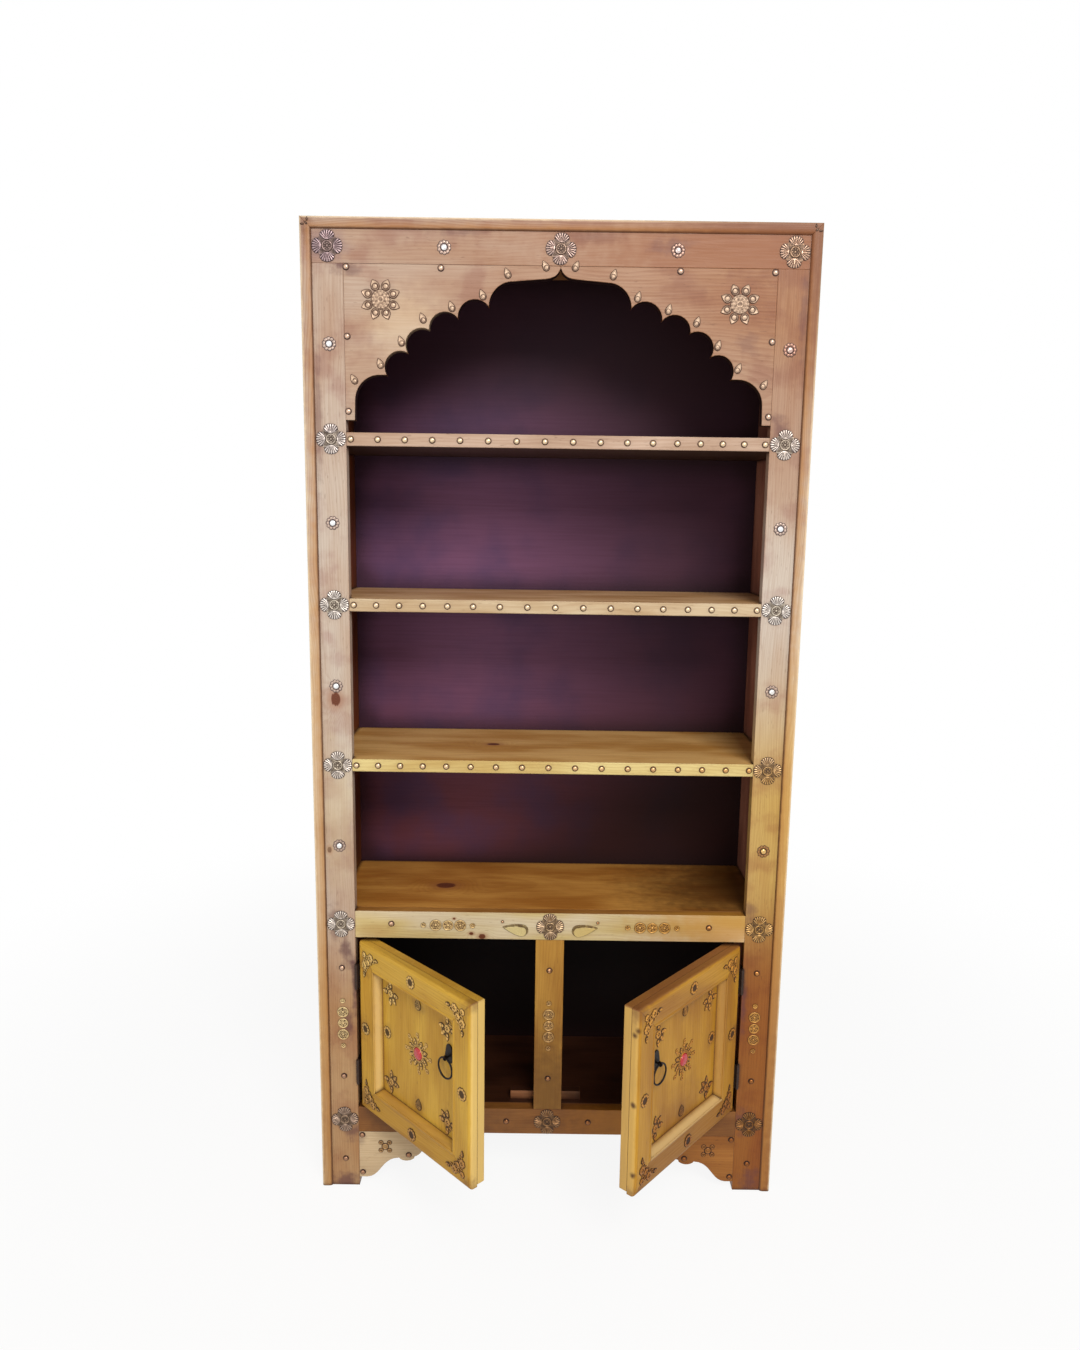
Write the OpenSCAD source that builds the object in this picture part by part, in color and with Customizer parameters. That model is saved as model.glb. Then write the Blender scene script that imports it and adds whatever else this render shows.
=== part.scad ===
// Arched pine bookcase with a two-door cupboard, brass ornaments and iron ring pulls.
// Millimetres. Z is up from the floor, Y runs from the room towards the wall.
// The origin is where the middle of the back panel meets the floor and the wall.
// The doors are drawn partly open, each turned about its own hinge pins.

/* [Case] */
// Width over the edge trims
case_w = 900; // [800:5:1100]
// Height over the top trim
case_h = 1840; // [1780:5:2100]
// Depth from the wall to the front of the face frame
case_depth = 286; // [240:2:360]
// Thickness of the side and top boards
board_t = 22; // [18:1:26]
// Thickness of the face frame
frame_t = 22; // [19:1:26]
// Thickness of the back panel
back_t = 10; // [6:1:14]
// Depth of the grooves that house the shelf ends
housing = 6; // [3:1:9]

/* [Face frame] */
// Width of each stile that shows between trim and opening
stile_w = 54; // [50:1:70]
// Width of the top rail that shows below the trim
top_rail_w = 56; // [50:1:80]
// Width of the middle and bottom rails
rail_w = 54; // [46:1:64]
// Width of the post between the doors
mullion_w = 55; // [44:1:70]
// Height of the bottom rail above the floor
bottom_rail_z = 118; // [108:1:150]
// Height of the middle rail above the floor
mid_rail_z = 530; // [500:5:580]

/* [Shelves] */
// Thickness of the shelves, the deck and the cupboard floor
shelf_t = 24; // [20:1:30]
// Height of the bay above the deck, before the bays are fitted to the case
lower_bay_h = 300; // [260:1:340]
// Height of the bay above the lower shelf, likewise
middle_bay_h = 301; // [260:1:340]
// Height of the bay above the middle shelf, likewise
upper_bay_h = 295; // [260:1:340]
// Gap between the upper shelf and the spandrels' feet
foot_gap = 21; // [10:1:40]
// Studs along each shelf edge
shelf_studs_n = 17; // [9:1:19]

/* [Edge trim] */
// Width of the trim's face
trim_w = 20; // [16:1:24]
// How far the trim laps over the face frame
trim_lap = 6; // [4:1:8]
// How far the trim stands in front of the face frame
trim_proud = 4; // [3:0.5:6]
// How far the trim reaches back along the case
trim_reach = 26; // [16:1:40]

/* [Arch] */
// Thickness of the spandrel boards
spandrel_t = 20; // [16:1:22]
// Height of the spandrels
spandrel_h = 263; // [240:1:275]
// Width of a spandrel's foot
foot_w = 16; // [12:1:24]
// Wood left over the point of the arch
point_cover = 3; // [2:0.5:8]
// How round the scallops are, as rise over width
scallop_bulge = 0.37; // [0.25:0.01:0.42]

/* [Feet brackets] */
// Width of a bracket along the bottom rail
bracket_w = 138; // [110:1:170]
// Height of a bracket below the bottom rail
bracket_h = 100; // [80:1:104]
// Thickness of a bracket
bracket_t = 20; // [14:1:22]

/* [Doors] */
// Angle at which the left door stands open
left_open_angle = 46; // [20:1:100]
// Angle at which the right door stands open
right_open_angle = 49; // [20:1:100]
// Gap at the hinge side, filled by the two leaves
hinge_gap = 3.2; // [2.6:0.1:4]
// Gap at the free side
free_gap = 7.3; // [3:0.1:9]
// Gap above a door
door_gap_top = 6; // [3:0.5:9]
// Gap below a door
door_gap_bottom = 4; // [3:0.5:7]
// Thickness of the mitred front frame
door_front_t = 17; // [14:0.5:20]
// Thickness of the back board
door_board_t = 16; // [12:0.5:20]
// How much shorter the back board is at the bottom
board_short = 4; // [0:0.5:8]
// Width of the mitred members down to the panel
member_w = 57; // [50:1:64]
// Radius of the outer front edge
member_round = 8; // [4:1:11]
// Width of the sloping inner edge
slope_w = 8; // [5:1:11]
// Radius of the bead along the inner edge
bead_r = 2.5; // [1.5:0.5:3.5]
// Height of the stop behind the mullion
stop_h = 18; // [12:1:26]
// Length of the stop
stop_l = 141; // [120:1:200]

/* [Hinges] */
// Height of a hinge
hinge_h = 50; // [40:1:60]
// Distance from a door's end to the middle of a hinge
hinge_inset = 74; // [60:1:90]
// Radius of the knuckles
knuckle_r = 3.2; // [2.8:0.1:3.8]
// Radius of the pins
pin_r = 1.5; // [1.2:0.1:1.8]
// Width of a leaf
leaf_w = 20; // [16:1:22]
// Length of a hinge screw
screw_l = 13; // [10:1:16]

/* [Ring pulls] */
// Radius of the ring, to the middle of its wire
ring_r = 19; // [15:0.5:20]
// Radius of the ring's wire
wire_r = 1.8; // [1.4:0.1:2.2]
// Distance from the door's free edge to the pull
pull_inset = 77; // [74:1:90]
// Height of the pull's eye above the door's middle
pull_rise = 41; // [20:1:60]
// Distance from the panel to the middle of the eye
pull_standoff = 10; // [9:0.5:12]
// Radius of the plate's round end
plate_r = 10.5; // [8:0.5:12]

/* [Brass ornaments] */
// Thickness of the pressed brass
brass_t = 1.6; // [1:0.2:2.4]
// Radius of the large stile and rail rosettes
rosette_r = 26.5; // [20:0.5:26.5]
// Radius of the small flowers
flower_r = 12.5; // [9:0.5:15]
// Radius of the eight-petalled flowers on the spandrels
big_flower_r = 36; // [28:1:40]
// Radius of a dome stud
stud_r = 6; // [4.5:0.5:7]
// Height of a dome stud
stud_h = 4; // [3:0.5:5]
// Length of a chain of medallions
chain_l = 104; // [90:1:120]
// Radius of the star round a door's stone
star_r = 41; // [32:1:46]
// Radius of the red stone
stone_r = 12; // [9:0.5:14]
// Height of the red stone
stone_h = 5; // [4:0.5:7]

/* [Hidden] */
$fn = 48;

// Colours
pine = "burlywood";
gold_pine = "goldenrod";
stained = "#3a1f24";
brass = "#b5a67a";
iron = "#26221f";
red_stone = "#c8323a";

// Case lines
half_w = case_w / 2;
trim_side = trim_w - trim_lap;
case_half = half_w - trim_side;
case_top = case_h - trim_side;
inner_half = case_half - board_t;
open_half = half_w - trim_w - stile_w;
front_y = -case_depth;
frame_back_y = front_y + frame_t;
panel_y = -back_t;
rail_joint_z = case_h - trim_w - top_rail_w;
mid_rail_top = mid_rail_z + rail_w;
bottom_rail_top = bottom_rail_z + rail_w;
stile_mid = open_half + stile_w / 2;
top_rail_mid = rail_joint_z + top_rail_w / 2;
mid_rail_mid = mid_rail_z + rail_w / 2;
bottom_rail_mid = bottom_rail_z + rail_w / 2;
foot_z = rail_joint_z - spandrel_h;

// Shelf tops: the upper shelf hangs on the arch, and the bays below share the rest
upper_shelf_z = foot_z - foot_gap;
bay_fit = (upper_shelf_z - mid_rail_top) / (lower_bay_h + middle_bay_h + upper_bay_h);
lower_shelf_z = mid_rail_top + lower_bay_h * bay_fit;
middle_shelf_z = lower_shelf_z + middle_bay_h * bay_fit;
shelf_tops = [lower_shelf_z, middle_shelf_z, upper_shelf_z];
board_tops = concat([bottom_rail_top, mid_rail_top], shelf_tops);

// Door lines
door_w = open_half - mullion_w / 2 - hinge_gap - free_gap;
door_z = bottom_rail_top + door_gap_bottom;
door_h = mid_rail_z - door_gap_top - door_z;
door_t = door_front_t + door_board_t;
knuckle_clear = 0.2;
pin_proud = knuckle_r + knuckle_clear;
axis_x = open_half - hinge_gap / 2;
axis_y = front_y - pin_proud;
stop_clear = 0.5;
stop_t = 18;
stop_shift = -4;

// Hinge lines
leaf_gap = 0.4;
leaf_t = (hinge_gap - leaf_gap) / 2;
leaf_clear = 0.3;
leaf_y = knuckle_r + leaf_clear;
knuckles_n = 3;
knuckle_gap = 0.3;
pin_fit = 0.05;
pin_head_r = 2.6;
pin_head_h = 1.6;
screw_r = 1.2;
screw_head_r = 2.8;
screw_head_h = 0.7;
screw_fit = 0.05;
screw_y = leaf_y + leaf_w / 2;
screw_spread = hinge_h / 3;
hinge_heights = [hinge_inset, door_h - hinge_inset];

// Arch outline, drawn for a half span of 360 and a rise of 260 and then fitted to the opening
drawn_half = 360;
drawn_rise = 260;
arch_cusps = [[124, 195], [178, 175], [228, 155], [266, 116], [303, 78]];
shoulder_r = 42;
foot_arc_r = 44;
arch_x = (open_half - foot_w) / drawn_half;
arch_z = (spandrel_h - point_cover) / drawn_rise;

// Bracket outline, drawn for a width of 138 and a height of 100
drawn_bracket = [138, 100];

// Helpers
function arc(centre, r, a0, a1, n) =
    [for (i = [0:n]) centre + r * [cos(a0 + (a1 - a0) * i / n), sin(a0 + (a1 - a0) * i / n)]];
function bezier(a, b, c, d, n) =
    [for (i = [0:n]) let (t = i / n, s = 1 - t)
        s * s * s * a + 3 * s * s * t * b + 3 * s * t * t * c + t * t * t * d];
// A round bulge from a to b, to the left of the way from a to b
function bulge(a, b, rise, n) =
    let (
        chord = norm(b - a),
        way = (b - a) / chord,
        left = [-way[1], way[0]],
        sag = rise * chord,
        r = (chord * chord / 4 + sag * sag) / (2 * sag),
        centre = (a + b) / 2 + left * (sag - r),
        from = atan2(a[1] - centre[1], a[0] - centre[0]),
        sweep = 2 * asin(chord / (2 * r)),
        turn = sag > r ? 360 - sweep : sweep
    )
    [for (i = [0:n]) centre + r * [cos(from - turn * i / n), sin(from - turn * i / n)]];
// Widens a point list by one factor in each direction
function fitted(points, fx, fy) = [for (p = points) [p[0] * fx, p[1] * fy]];

module block(x, y, z) {
    translate([x[0], y[0], z[0]])
        cube([x[1] - x[0], y[1] - y[0], z[1] - z[0]]);
}
// Raises a drawing in X and Z into a board whose front face is at y
module upright(y, t) {
    translate([0, y + t, 0])
        rotate([90, 0, 0])
            linear_extrude(t)
                children();
}
// Puts ornaments on the face frame's front, each drawn flat and standing forward
module on_face(x, z, turn = 0) {
    translate([x, front_y, z])
        rotate([90, 0, 0])
            rotate([0, 0, turn])
                children();
}
module both_sides() {
    children();
    mirror([1, 0, 0])
        children();
}

// Case boards
module side_board() {
    difference() {
        block([inner_half, case_half], [frame_back_y, panel_y], [0, case_top]);
        for (z = board_tops)
            block([inner_half - 1, inner_half + housing], [frame_back_y - 1, panel_y + 1], [z - shelf_t, z]);
    }
}
module left_side_board() {
    color(pine) mirror([1, 0, 0]) side_board();
}
module right_side_board() {
    color(pine) side_board();
}
module top_board() {
    color(pine)
        block([-inner_half, inner_half], [frame_back_y, panel_y], [case_top - board_t, case_top]);
}
module back_panel() {
    color(stained)
        block([-case_half, case_half], [panel_y, 0], [0, case_top]);
}
// A board housed in the sides, with its front edge between the stiles when it shows
module shelf(top, to_front) {
    color(gold_pine) {
        block([-inner_half - housing, inner_half + housing], [frame_back_y, panel_y], [top - shelf_t, top]);
        if (to_front)
            block([-open_half, open_half], [front_y, frame_back_y], [top - shelf_t, top]);
    }
}
module upper_shelf() {
    shelf(upper_shelf_z, true);
}
module middle_shelf() {
    shelf(middle_shelf_z, true);
}
module lower_shelf() {
    shelf(lower_shelf_z, true);
}
module deck_board() {
    shelf(mid_rail_top, false);
}
module floor_board() {
    shelf(bottom_rail_top, false);
}

// Face frame
module stile() {
    difference() {
        block([open_half, case_half], [front_y, frame_back_y], [0, rail_joint_z]);
        for (z = hinge_heights)
            translate([axis_x, axis_y, door_z + z])
                mirror([1, 0, 0])
                    pilot_holes();
    }
}
module left_stile() {
    color(pine) mirror([1, 0, 0]) stile();
}
module right_stile() {
    color(pine) stile();
}
module top_rail() {
    color(pine)
        block([-case_half, case_half], [front_y, frame_back_y], [rail_joint_z, case_top]);
}
module mid_rail() {
    color(pine)
        block([-open_half, open_half], [front_y, frame_back_y], [mid_rail_z, mid_rail_top]);
}
module bottom_rail() {
    color(gold_pine)
        block([-open_half, open_half], [front_y, frame_back_y], [bottom_rail_z, bottom_rail_top]);
}
module mullion() {
    color(gold_pine)
        block([-mullion_w / 2, mullion_w / 2], [front_y, frame_back_y], [bottom_rail_top, mid_rail_z]);
}
module door_stop() {
    stop_y = front_y + door_t + stop_clear;
    color(pine)
        block(
            [stop_shift - stop_l / 2, stop_shift + stop_l / 2],
            [stop_y, stop_y + stop_t],
            [bottom_rail_top, bottom_rail_top + stop_h]
        );
}

// Scalloped spandrels
module spandrel() {
    point = [0, drawn_rise];
    shoulder = arch_cusps[0] - [shoulder_r, 0];
    ogee = bezier(point, [5, 246], [14, 242], [34, 241], 8);
    big_lobe = arc(shoulder, shoulder_r, 90, 0, 10);
    lobes = [for (i = [0:len(arch_cusps) - 2]) each bulge(arch_cusps[i], arch_cusps[i + 1], scallop_bulge, 10)];
    last = arch_cusps[len(arch_cusps) - 1];
    foot_arc = arc([drawn_half - foot_arc_r - 1, last[1] - foot_arc_r], foot_arc_r, 90, 0, 10);
    edge = fitted(concat(ogee, big_lobe, lobes, foot_arc, [[drawn_half, 0]]), arch_x, arch_z);
    outline = concat(edge, [[open_half, 0], [open_half, spandrel_h], [0, spandrel_h]]);
    upright(front_y, spandrel_t)
        translate([0, foot_z])
            polygon(outline);
}
module left_spandrel() {
    color(pine) mirror([1, 0, 0]) spandrel();
}
module right_spandrel() {
    color(pine) spandrel();
}

// Scrolled brackets between the stiles and the bottom rail
module bracket() {
    toe = [[0, 0], [0, -100], [14, -100]];
    sweep = bezier([16, -100], [44, -98], [44, -58], [80, -57], 10);
    lobe = bulge([110, -58], [82, -60], 0.16, 6);
    heel = bezier([111, -54], [124, -52], [136, -30], [138, 0], 8);
    outline = concat(toe, sweep, [for (i = [0:6]) lobe[6 - i]], heel);
    sized = fitted(outline, bracket_w / drawn_bracket[0], bracket_h / drawn_bracket[1]);
    upright(front_y, bracket_t)
        polygon([for (p = sized) [open_half - p[0], bottom_rail_z + p[1]]]);
}
module left_bracket() {
    color(pine) mirror([1, 0, 0]) bracket();
}
module right_bracket() {
    color(pine) bracket();
}

// Edge trim, drawn outwards from its inner edge and forwards from the frame
module trim_profile() {
    quirk = 0.8;
    crown = bezier([0, quirk], [2, trim_proud], [trim_w * 0.3, trim_proud], [trim_w * 0.55, trim_proud], 6);
    nose = bezier([trim_w * 0.75, trim_proud], [trim_w * 0.95, trim_proud], [trim_w, trim_proud * 0.6],
        [trim_w, 0], 6);
    back = [[trim_w, -trim_reach], [trim_lap, -trim_reach], [trim_lap, 0], [0, 0]];
    polygon(concat(crown, nose, back));
}
// A length of trim along Z, on the right-hand side of the case
module trim_run(length) {
    translate([half_w - trim_w, front_y, 0])
        linear_extrude(length)
            mirror([0, 1, 0])
                trim_profile();
}
module side_trim() {
    spare = 60;
    intersection() {
        trim_run(case_h);
        upright(front_y - spare, spare * 2)
            polygon([[0, -1], [half_w + 1, -1], [half_w + 1, case_h + 1], [half_w - spare, case_h - spare]]);
    }
}
module left_trim() {
    color(pine) mirror([1, 0, 0]) side_trim();
}
module right_trim() {
    color(pine) side_trim();
}
module top_trim() {
    spare = 60;
    color(pine)
        intersection() {
            translate([-half_w, 0, case_h - half_w])
                rotate([0, -90, 0])
                    mirror([0, 0, 1])
                        trim_run(case_w);
            upright(front_y - spare, spare * 2)
                polygon([
                    [-half_w - 1, case_h + 1], [-half_w + spare, case_h - spare],
                    [half_w - spare, case_h - spare], [half_w + 1, case_h + 1]
                ]);
        }
}

// Pressed brass, each piece flat on the XY plane and standing up in Z
module dome(r, h) {
    ball = (r * r + h * h) / (2 * h);
    intersection() {
        translate([0, 0, h - ball])
            sphere(ball, $fn = 144);
        block([-ball, ball], [-ball, ball], [0, ball]);
    }
}
module stud() {
    dome(stud_r, stud_h);
}
module disc(x, y, r) {
    translate([x, y, 0])
        cylinder(r = r, h = brass_t);
}
// A flat coin with a low dome on it
module coin(r) {
    disc(0, 0, r);
    dome(r * 0.8, brass_t * 1.8);
}
module teardrop(r, tip) {
    touch = asin(r / tip);
    linear_extrude(brass_t) {
        circle(r);
        polygon([[r * cos(90 - touch), r * sin(90 - touch)], [tip, 0],
            [r * cos(90 - touch), -r * sin(90 - touch)]]);
    }
}
// A boss ringed by four shells, kept inside the stile
module rosette() {
    r = min(rosette_r, stile_w / 2 - 0.5);
    petal_r = r * 0.36;
    reach = r - petal_r;
    dome(r * 0.36, brass_t * 2.4);
    disc(0, 0, r * 0.4);
    for (a = [0:90:270])
        disc(reach * cos(a), reach * sin(a), petal_r);
}
module flower() {
    beads_n = 10;
    bead = flower_r * 0.24;
    dome(flower_r * 0.55, brass_t * 2.2);
    disc(0, 0, flower_r * 0.72);
    for (i = [0:beads_n - 1])
        disc((flower_r - bead) * cos(i * 360 / beads_n), (flower_r - bead) * sin(i * 360 / beads_n), bead);
}
module big_flower() {
    petals_n = 8;
    petal_r = big_flower_r * 0.2;
    reach = big_flower_r - petal_r * 1.8;
    dome(big_flower_r * 0.34, brass_t * 2.2);
    disc(0, 0, big_flower_r * 0.52);
    for (i = [0:petals_n - 1])
        rotate([0, 0, i * 360 / petals_n + 22.5])
            translate([reach, 0, 0])
                teardrop(petal_r, petal_r * 1.8);
}
module chain() {
    end_r = chain_l * 0.045;
    eye_r = chain_l * 0.1;
    pitch = (chain_l - 2 * end_r) / 4;
    for (i = [-2:2])
        translate([i * pitch, 0, 0])
            coin(abs(i) == 2 ? end_r : eye_r);
}
module cluster() {
    arm = stud_r * 2;
    dome(stud_r * 1.1, stud_h * 0.8);
    for (a = [45:90:315])
        translate([arm * cos(a), arm * sin(a), 0])
            dome(stud_r * 0.75, stud_h * 0.6);
}
module paisley() {
    teardrop(rail_w * 0.22, rail_w * 0.72);
}

module frame_rosettes() {
    color(brass) {
        both_sides()
            for (z = concat([top_rail_mid, mid_rail_mid, bottom_rail_mid], [for (t = shelf_tops) t - shelf_t / 2]))
                on_face(stile_mid, z)
                    rosette();
        for (z = [top_rail_mid, mid_rail_mid, bottom_rail_mid])
            on_face(0, z)
                rosette();
    }
}
stile_flower_stops = [
    mid_rail_mid, lower_shelf_z - shelf_t / 2, middle_shelf_z - shelf_t / 2,
    upper_shelf_z - shelf_t / 2, top_rail_mid
];
module frame_flowers() {
    color(brass)
        both_sides() {
            for (i = [0:len(stile_flower_stops) - 2])
                on_face(stile_mid, (stile_flower_stops[i] + stile_flower_stops[i + 1]) / 2)
                    flower();
            on_face(stile_mid / 2, top_rail_mid)
                flower();
        }
}
// Where the large flower and the studs sit on a spandrel, from its outer top corner
big_flower_at = [64, -59];
spandrel_stud_at = [[5, -6], [5, -121], [5, -248], [169, -6]];
module spandrel_flowers() {
    color(brass)
        both_sides()
            on_face(open_half - big_flower_at[0], rail_joint_z + big_flower_at[1])
                big_flower();
}
// Teardrops stand just off the cusps, with two more on the shoulder and one on the foot
tear_r = 6.2;
tear_tip = 13.5;
tear_off = 16;
tear_spots = concat(
    [[25, 260, 65], [91, 247, 72]],
    [for (c = arch_cusps) [c[0] + tear_off * 0.62, c[1] + tear_off, 68]],
    [[359, 67, 60]]
);
corner_leaf_r = 1.8;
corner_leaf_tip = 5.4;
corner_leaf_at = [[4, 4, 45], [10, 3, 0], [3, 10, 90]];
module arch_teardrops() {
    color(brass)
        both_sides() {
            for (t = tear_spots)
                on_face(t[0] * arch_x, foot_z + t[1] * arch_z, t[2])
                    teardrop(tear_r, tear_tip);
            for (c = corner_leaf_at)
                translate([half_w - trim_w + c[0] + 3, front_y - trim_proud, case_h - trim_w + c[1] + 3])
                    rotate([90, 0, 0])
                        rotate([0, 0, c[2]])
                            teardrop(corner_leaf_r, corner_leaf_tip);
        }
}
// Hand-nailed rows: the pitch is even, and each row wanders by a slow and a fast wave
row_wander = [[-8, -10], [0, -13], [27, -9]];
module shelf_studs() {
    run = open_half - stud_r - 2;
    pitch = 2 * run / (shelf_studs_n - 1);
    color(brass)
        for (k = [0:2])
            for (i = [0:shelf_studs_n - 1]) {
                along = i / (shelf_studs_n - 1);
                wander = row_wander[k][0] * sin(180 * along) + row_wander[k][1] * sin(360 * along);
                on_face(-run + i * pitch + wander, shelf_tops[k] - shelf_t / 2)
                    stud();
            }
}
// Heights of the studs beside the doors, from the rails next to them
upper_stud_z = 90;
lower_stud_z = 94;
// Where the studs and the chains sit on the middle rail, from the opening's side
rail_stud_in = 70;
rail_chain_in = 179;
// Where the studs sit on a bracket, as parts of its width and height
bracket_stud_at = [[0.05, 0.07], [0.05, 0.89], [0.72, 0.5]];
cluster_at = [0.38, 0.32];
module frame_studs() {
    color(brass) {
        both_sides() {
            for (s = spandrel_stud_at)
                on_face(open_half - s[0], rail_joint_z + s[1])
                    stud();
            on_face(open_half - rail_stud_in, mid_rail_mid + 2)
                stud();
            on_face(mullion_w / 2 + rail_w, bottom_rail_mid)
                stud();
            for (z = [mid_rail_mid - upper_stud_z, bottom_rail_mid + lower_stud_z, bottom_rail_z / 2])
                on_face(stile_mid, z)
                    stud();
            for (b = bracket_stud_at)
                on_face(open_half - bracket_w * b[0], bottom_rail_z - bracket_h * b[1])
                    stud();
            on_face(rail_w * 1.7, mid_rail_mid + 9)
                dome(stud_r * 0.5, stud_h * 0.7);
        }
        for (z = [mid_rail_mid - upper_stud_z, bottom_rail_mid + lower_stud_z])
            on_face(0, z)
                stud();
    }
}
module medallion_chains() {
    chain_z = (mid_rail_mid + bottom_rail_mid) / 2;
    color(brass) {
        both_sides() {
            on_face(stile_mid, chain_z, 90)
                chain();
            on_face(open_half - rail_chain_in, mid_rail_mid)
                chain();
        }
        on_face(0, chain_z, 90)
            chain();
    }
}
module paisley_plaques() {
    color(brass)
        both_sides()
            on_face(rail_w, mid_rail_mid - 8, 10)
                paisley();
}
module bracket_clusters() {
    color(brass)
        both_sides()
            on_face(open_half - bracket_w * cluster_at[0], bottom_rail_z - bracket_h * cluster_at[1])
                cluster();
}

// Butt hinges, drawn about the pin for the leaf on the frame
module pilot_holes() {
    for (k = [-1:1])
        translate([-hinge_gap / 2, screw_y, k * screw_spread])
            rotate([0, -90, 0])
                cylinder(r = screw_r + screw_fit, h = screw_l);
}
// One leaf with the knuckles whose numbers are given, counted from below
module leaf(own) {
    seg = hinge_h / knuckles_n;
    difference() {
        union() {
            block([-hinge_gap / 2, -leaf_gap / 2], [leaf_y, leaf_y + leaf_w], [-hinge_h / 2, hinge_h / 2]);
            for (k = own) {
                z = -hinge_h / 2 + k * seg;
                block([-hinge_gap / 2, -leaf_gap / 2], [0, leaf_y], [z + knuckle_gap / 2, z + seg - knuckle_gap / 2]);
                translate([0, 0, z + knuckle_gap / 2])
                    cylinder(r = knuckle_r, h = seg - knuckle_gap);
            }
        }
        translate([0, 0, -hinge_h / 2 - 1])
            cylinder(r = pin_r + pin_fit, h = hinge_h + 2);
        for (k = [-1:1])
            translate([-leaf_gap / 2, screw_y, k * screw_spread])
                rotate([0, -90, 0]) {
                    cylinder(r = screw_r + screw_fit, h = leaf_t + 1);
                    translate([0, 0, -1])
                        cylinder(r = screw_head_r + screw_fit, h = screw_head_h + 1);
                }
    }
}
module leaf_screws() {
    for (k = [-1:1])
        translate([-leaf_gap / 2, screw_y, k * screw_spread])
            rotate([0, -90, 0]) {
                cylinder(r = screw_head_r, h = screw_head_h);
                cylinder(r = screw_r, h = screw_l);
            }
}
module pin() {
    end = hinge_h / 2 - knuckle_gap / 2;
    translate([0, 0, -end])
        cylinder(r = pin_r, h = end * 2);
    for (m = [0, 1])
        mirror([0, 0, m])
            translate([0, 0, end])
                cylinder(r = pin_head_r, h = pin_head_h);
}
// Both hinges of one side; side is 0 on the left and 1 on the right
module at_hinges(side) {
    mirror([side, 0, 0])
        for (z = hinge_heights)
            translate([-axis_x, axis_y, door_z + z])
                children();
}
module frame_hinge_leaves() {
    color(iron)
        for (side = [0, 1])
            at_hinges(side)
                leaf([0, 2]);
}
module hinge_pins() {
    color(iron)
        for (side = [0, 1])
            at_hinges(side)
                pin();
}
module frame_hinge_screws() {
    color(iron)
        for (side = [0, 1])
            at_hinges(side)
                leaf_screws();
}

// Doors, drawn from the lower hinge corner of the front face and then hung on their pins
module hang(side) {
    turn = side == 0 ? left_open_angle : right_open_angle;
    mirror([side, 0, 0])
        translate([-axis_x, axis_y, door_z])
            rotate([0, 0, -turn])
                translate([hinge_gap / 2, pin_proud, 0])
                    children();
}
// Moves a door drawing to its pin, for the hinge parts
module door_pin() {
    translate([-hinge_gap / 2, -pin_proud, 0])
        for (z = hinge_heights)
            translate([0, 0, z])
                mirror([1, 0, 0])
                    children();
}
module door_board() {
    block([0, door_w], [door_front_t, door_t], [board_short, door_h]);
}
// Profile of a mitred member: depth behind the face, then distance in from the outer edge
module member_profile() {
    bead_at = member_w - slope_w - bead_r;
    outer = arc([member_round, member_round], member_round, 180, 270, 6);
    bead = arc([0, bead_at], bead_r, -90, 90, 6);
    polygon(concat(
        [[door_front_t, 0]],
        [for (i = [0:6]) [outer[i][1], outer[i][0]]],
        [for (p = bead) [bead_r * 0.4 - p[0] * 0.4, p[1]]],
        [[bead_r, bead_at + bead_r], [door_front_t, member_w]]
    ));
}
module member(length) {
    spare = 2;
    intersection() {
        rotate([90, 0, 90])
            linear_extrude(length)
                member_profile();
        upright(-spare, door_front_t + 2 * spare)
            polygon([[0, 0], [length, 0], [length - member_w, member_w], [member_w, member_w]]);
    }
}
module bottom_member() {
    member(door_w);
}
module top_member() {
    translate([0, 0, door_h])
        mirror([0, 0, 1])
            member(door_w);
}
module hinge_stile() {
    difference() {
        mirror([1, 0, 0])
            rotate([0, -90, 0])
                member(door_h);
        door_pin()
            pilot_holes();
    }
}
module lock_stile() {
    translate([door_w, 0, 0])
        rotate([0, -90, 0])
            member(door_h);
}

// Door ornaments, on the members at depth 0 and on the panel at the members' thickness
module on_door(x, depth, z, turn = 0) {
    translate([x, depth, z])
        rotate([90, 0, 0])
            rotate([0, 0, turn])
                children();
}
// A stud with three leaves that point into a corner and along both of its sides
module corner_spray(size) {
    dome(size * 0.2, brass_t * 1.6);
    for (a = [0, 45, 90])
        rotate([0, 0, a + 180])
            translate([size * 0.36, 0, 0])
                teardrop(size * 0.14, size * 0.3);
    for (a = [0, 90])
        rotate([0, 0, a])
            translate([size * 0.36, 0, 0])
                teardrop(size * 0.14, size * 0.3);
}
// A stud on the mitre with a flower and a leaf along each member, and a smaller flower between
module corner_fan(reach) {
    dome(reach * 0.17, brass_t * 2);
    disc(-reach * 0.31, -reach * 0.31, reach * 0.17);
    for (a = [180, 270])
        rotate([0, 0, a]) {
            disc(reach * 0.53, 0, reach * 0.22);
            translate([reach * 0.94, 0, 0])
                teardrop(reach * 0.1, reach * 0.22);
        }
}
module star() {
    rays_n = 8;
    waist = 0.52;
    linear_extrude(brass_t * 0.8)
        difference() {
            polygon([for (i = [0:2 * rays_n - 1]) let (r = i % 2 == 0 ? star_r : star_r * waist)
                r * [cos(i * 180 / rays_n), sin(i * 180 / rays_n)]]);
            circle(stone_r + 0.3);
        }
}
panel_spray = 38;
panel_spray_in = 26;
frame_spray_in = 21;
side_flower_in = 22;
panel_flower_in = 14;
panel_flower_up = 7;
panel_tear_in = 17;
panel_tear_r = 9;
panel_tear_tip = 14.5;
corner_reach = 40;
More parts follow.
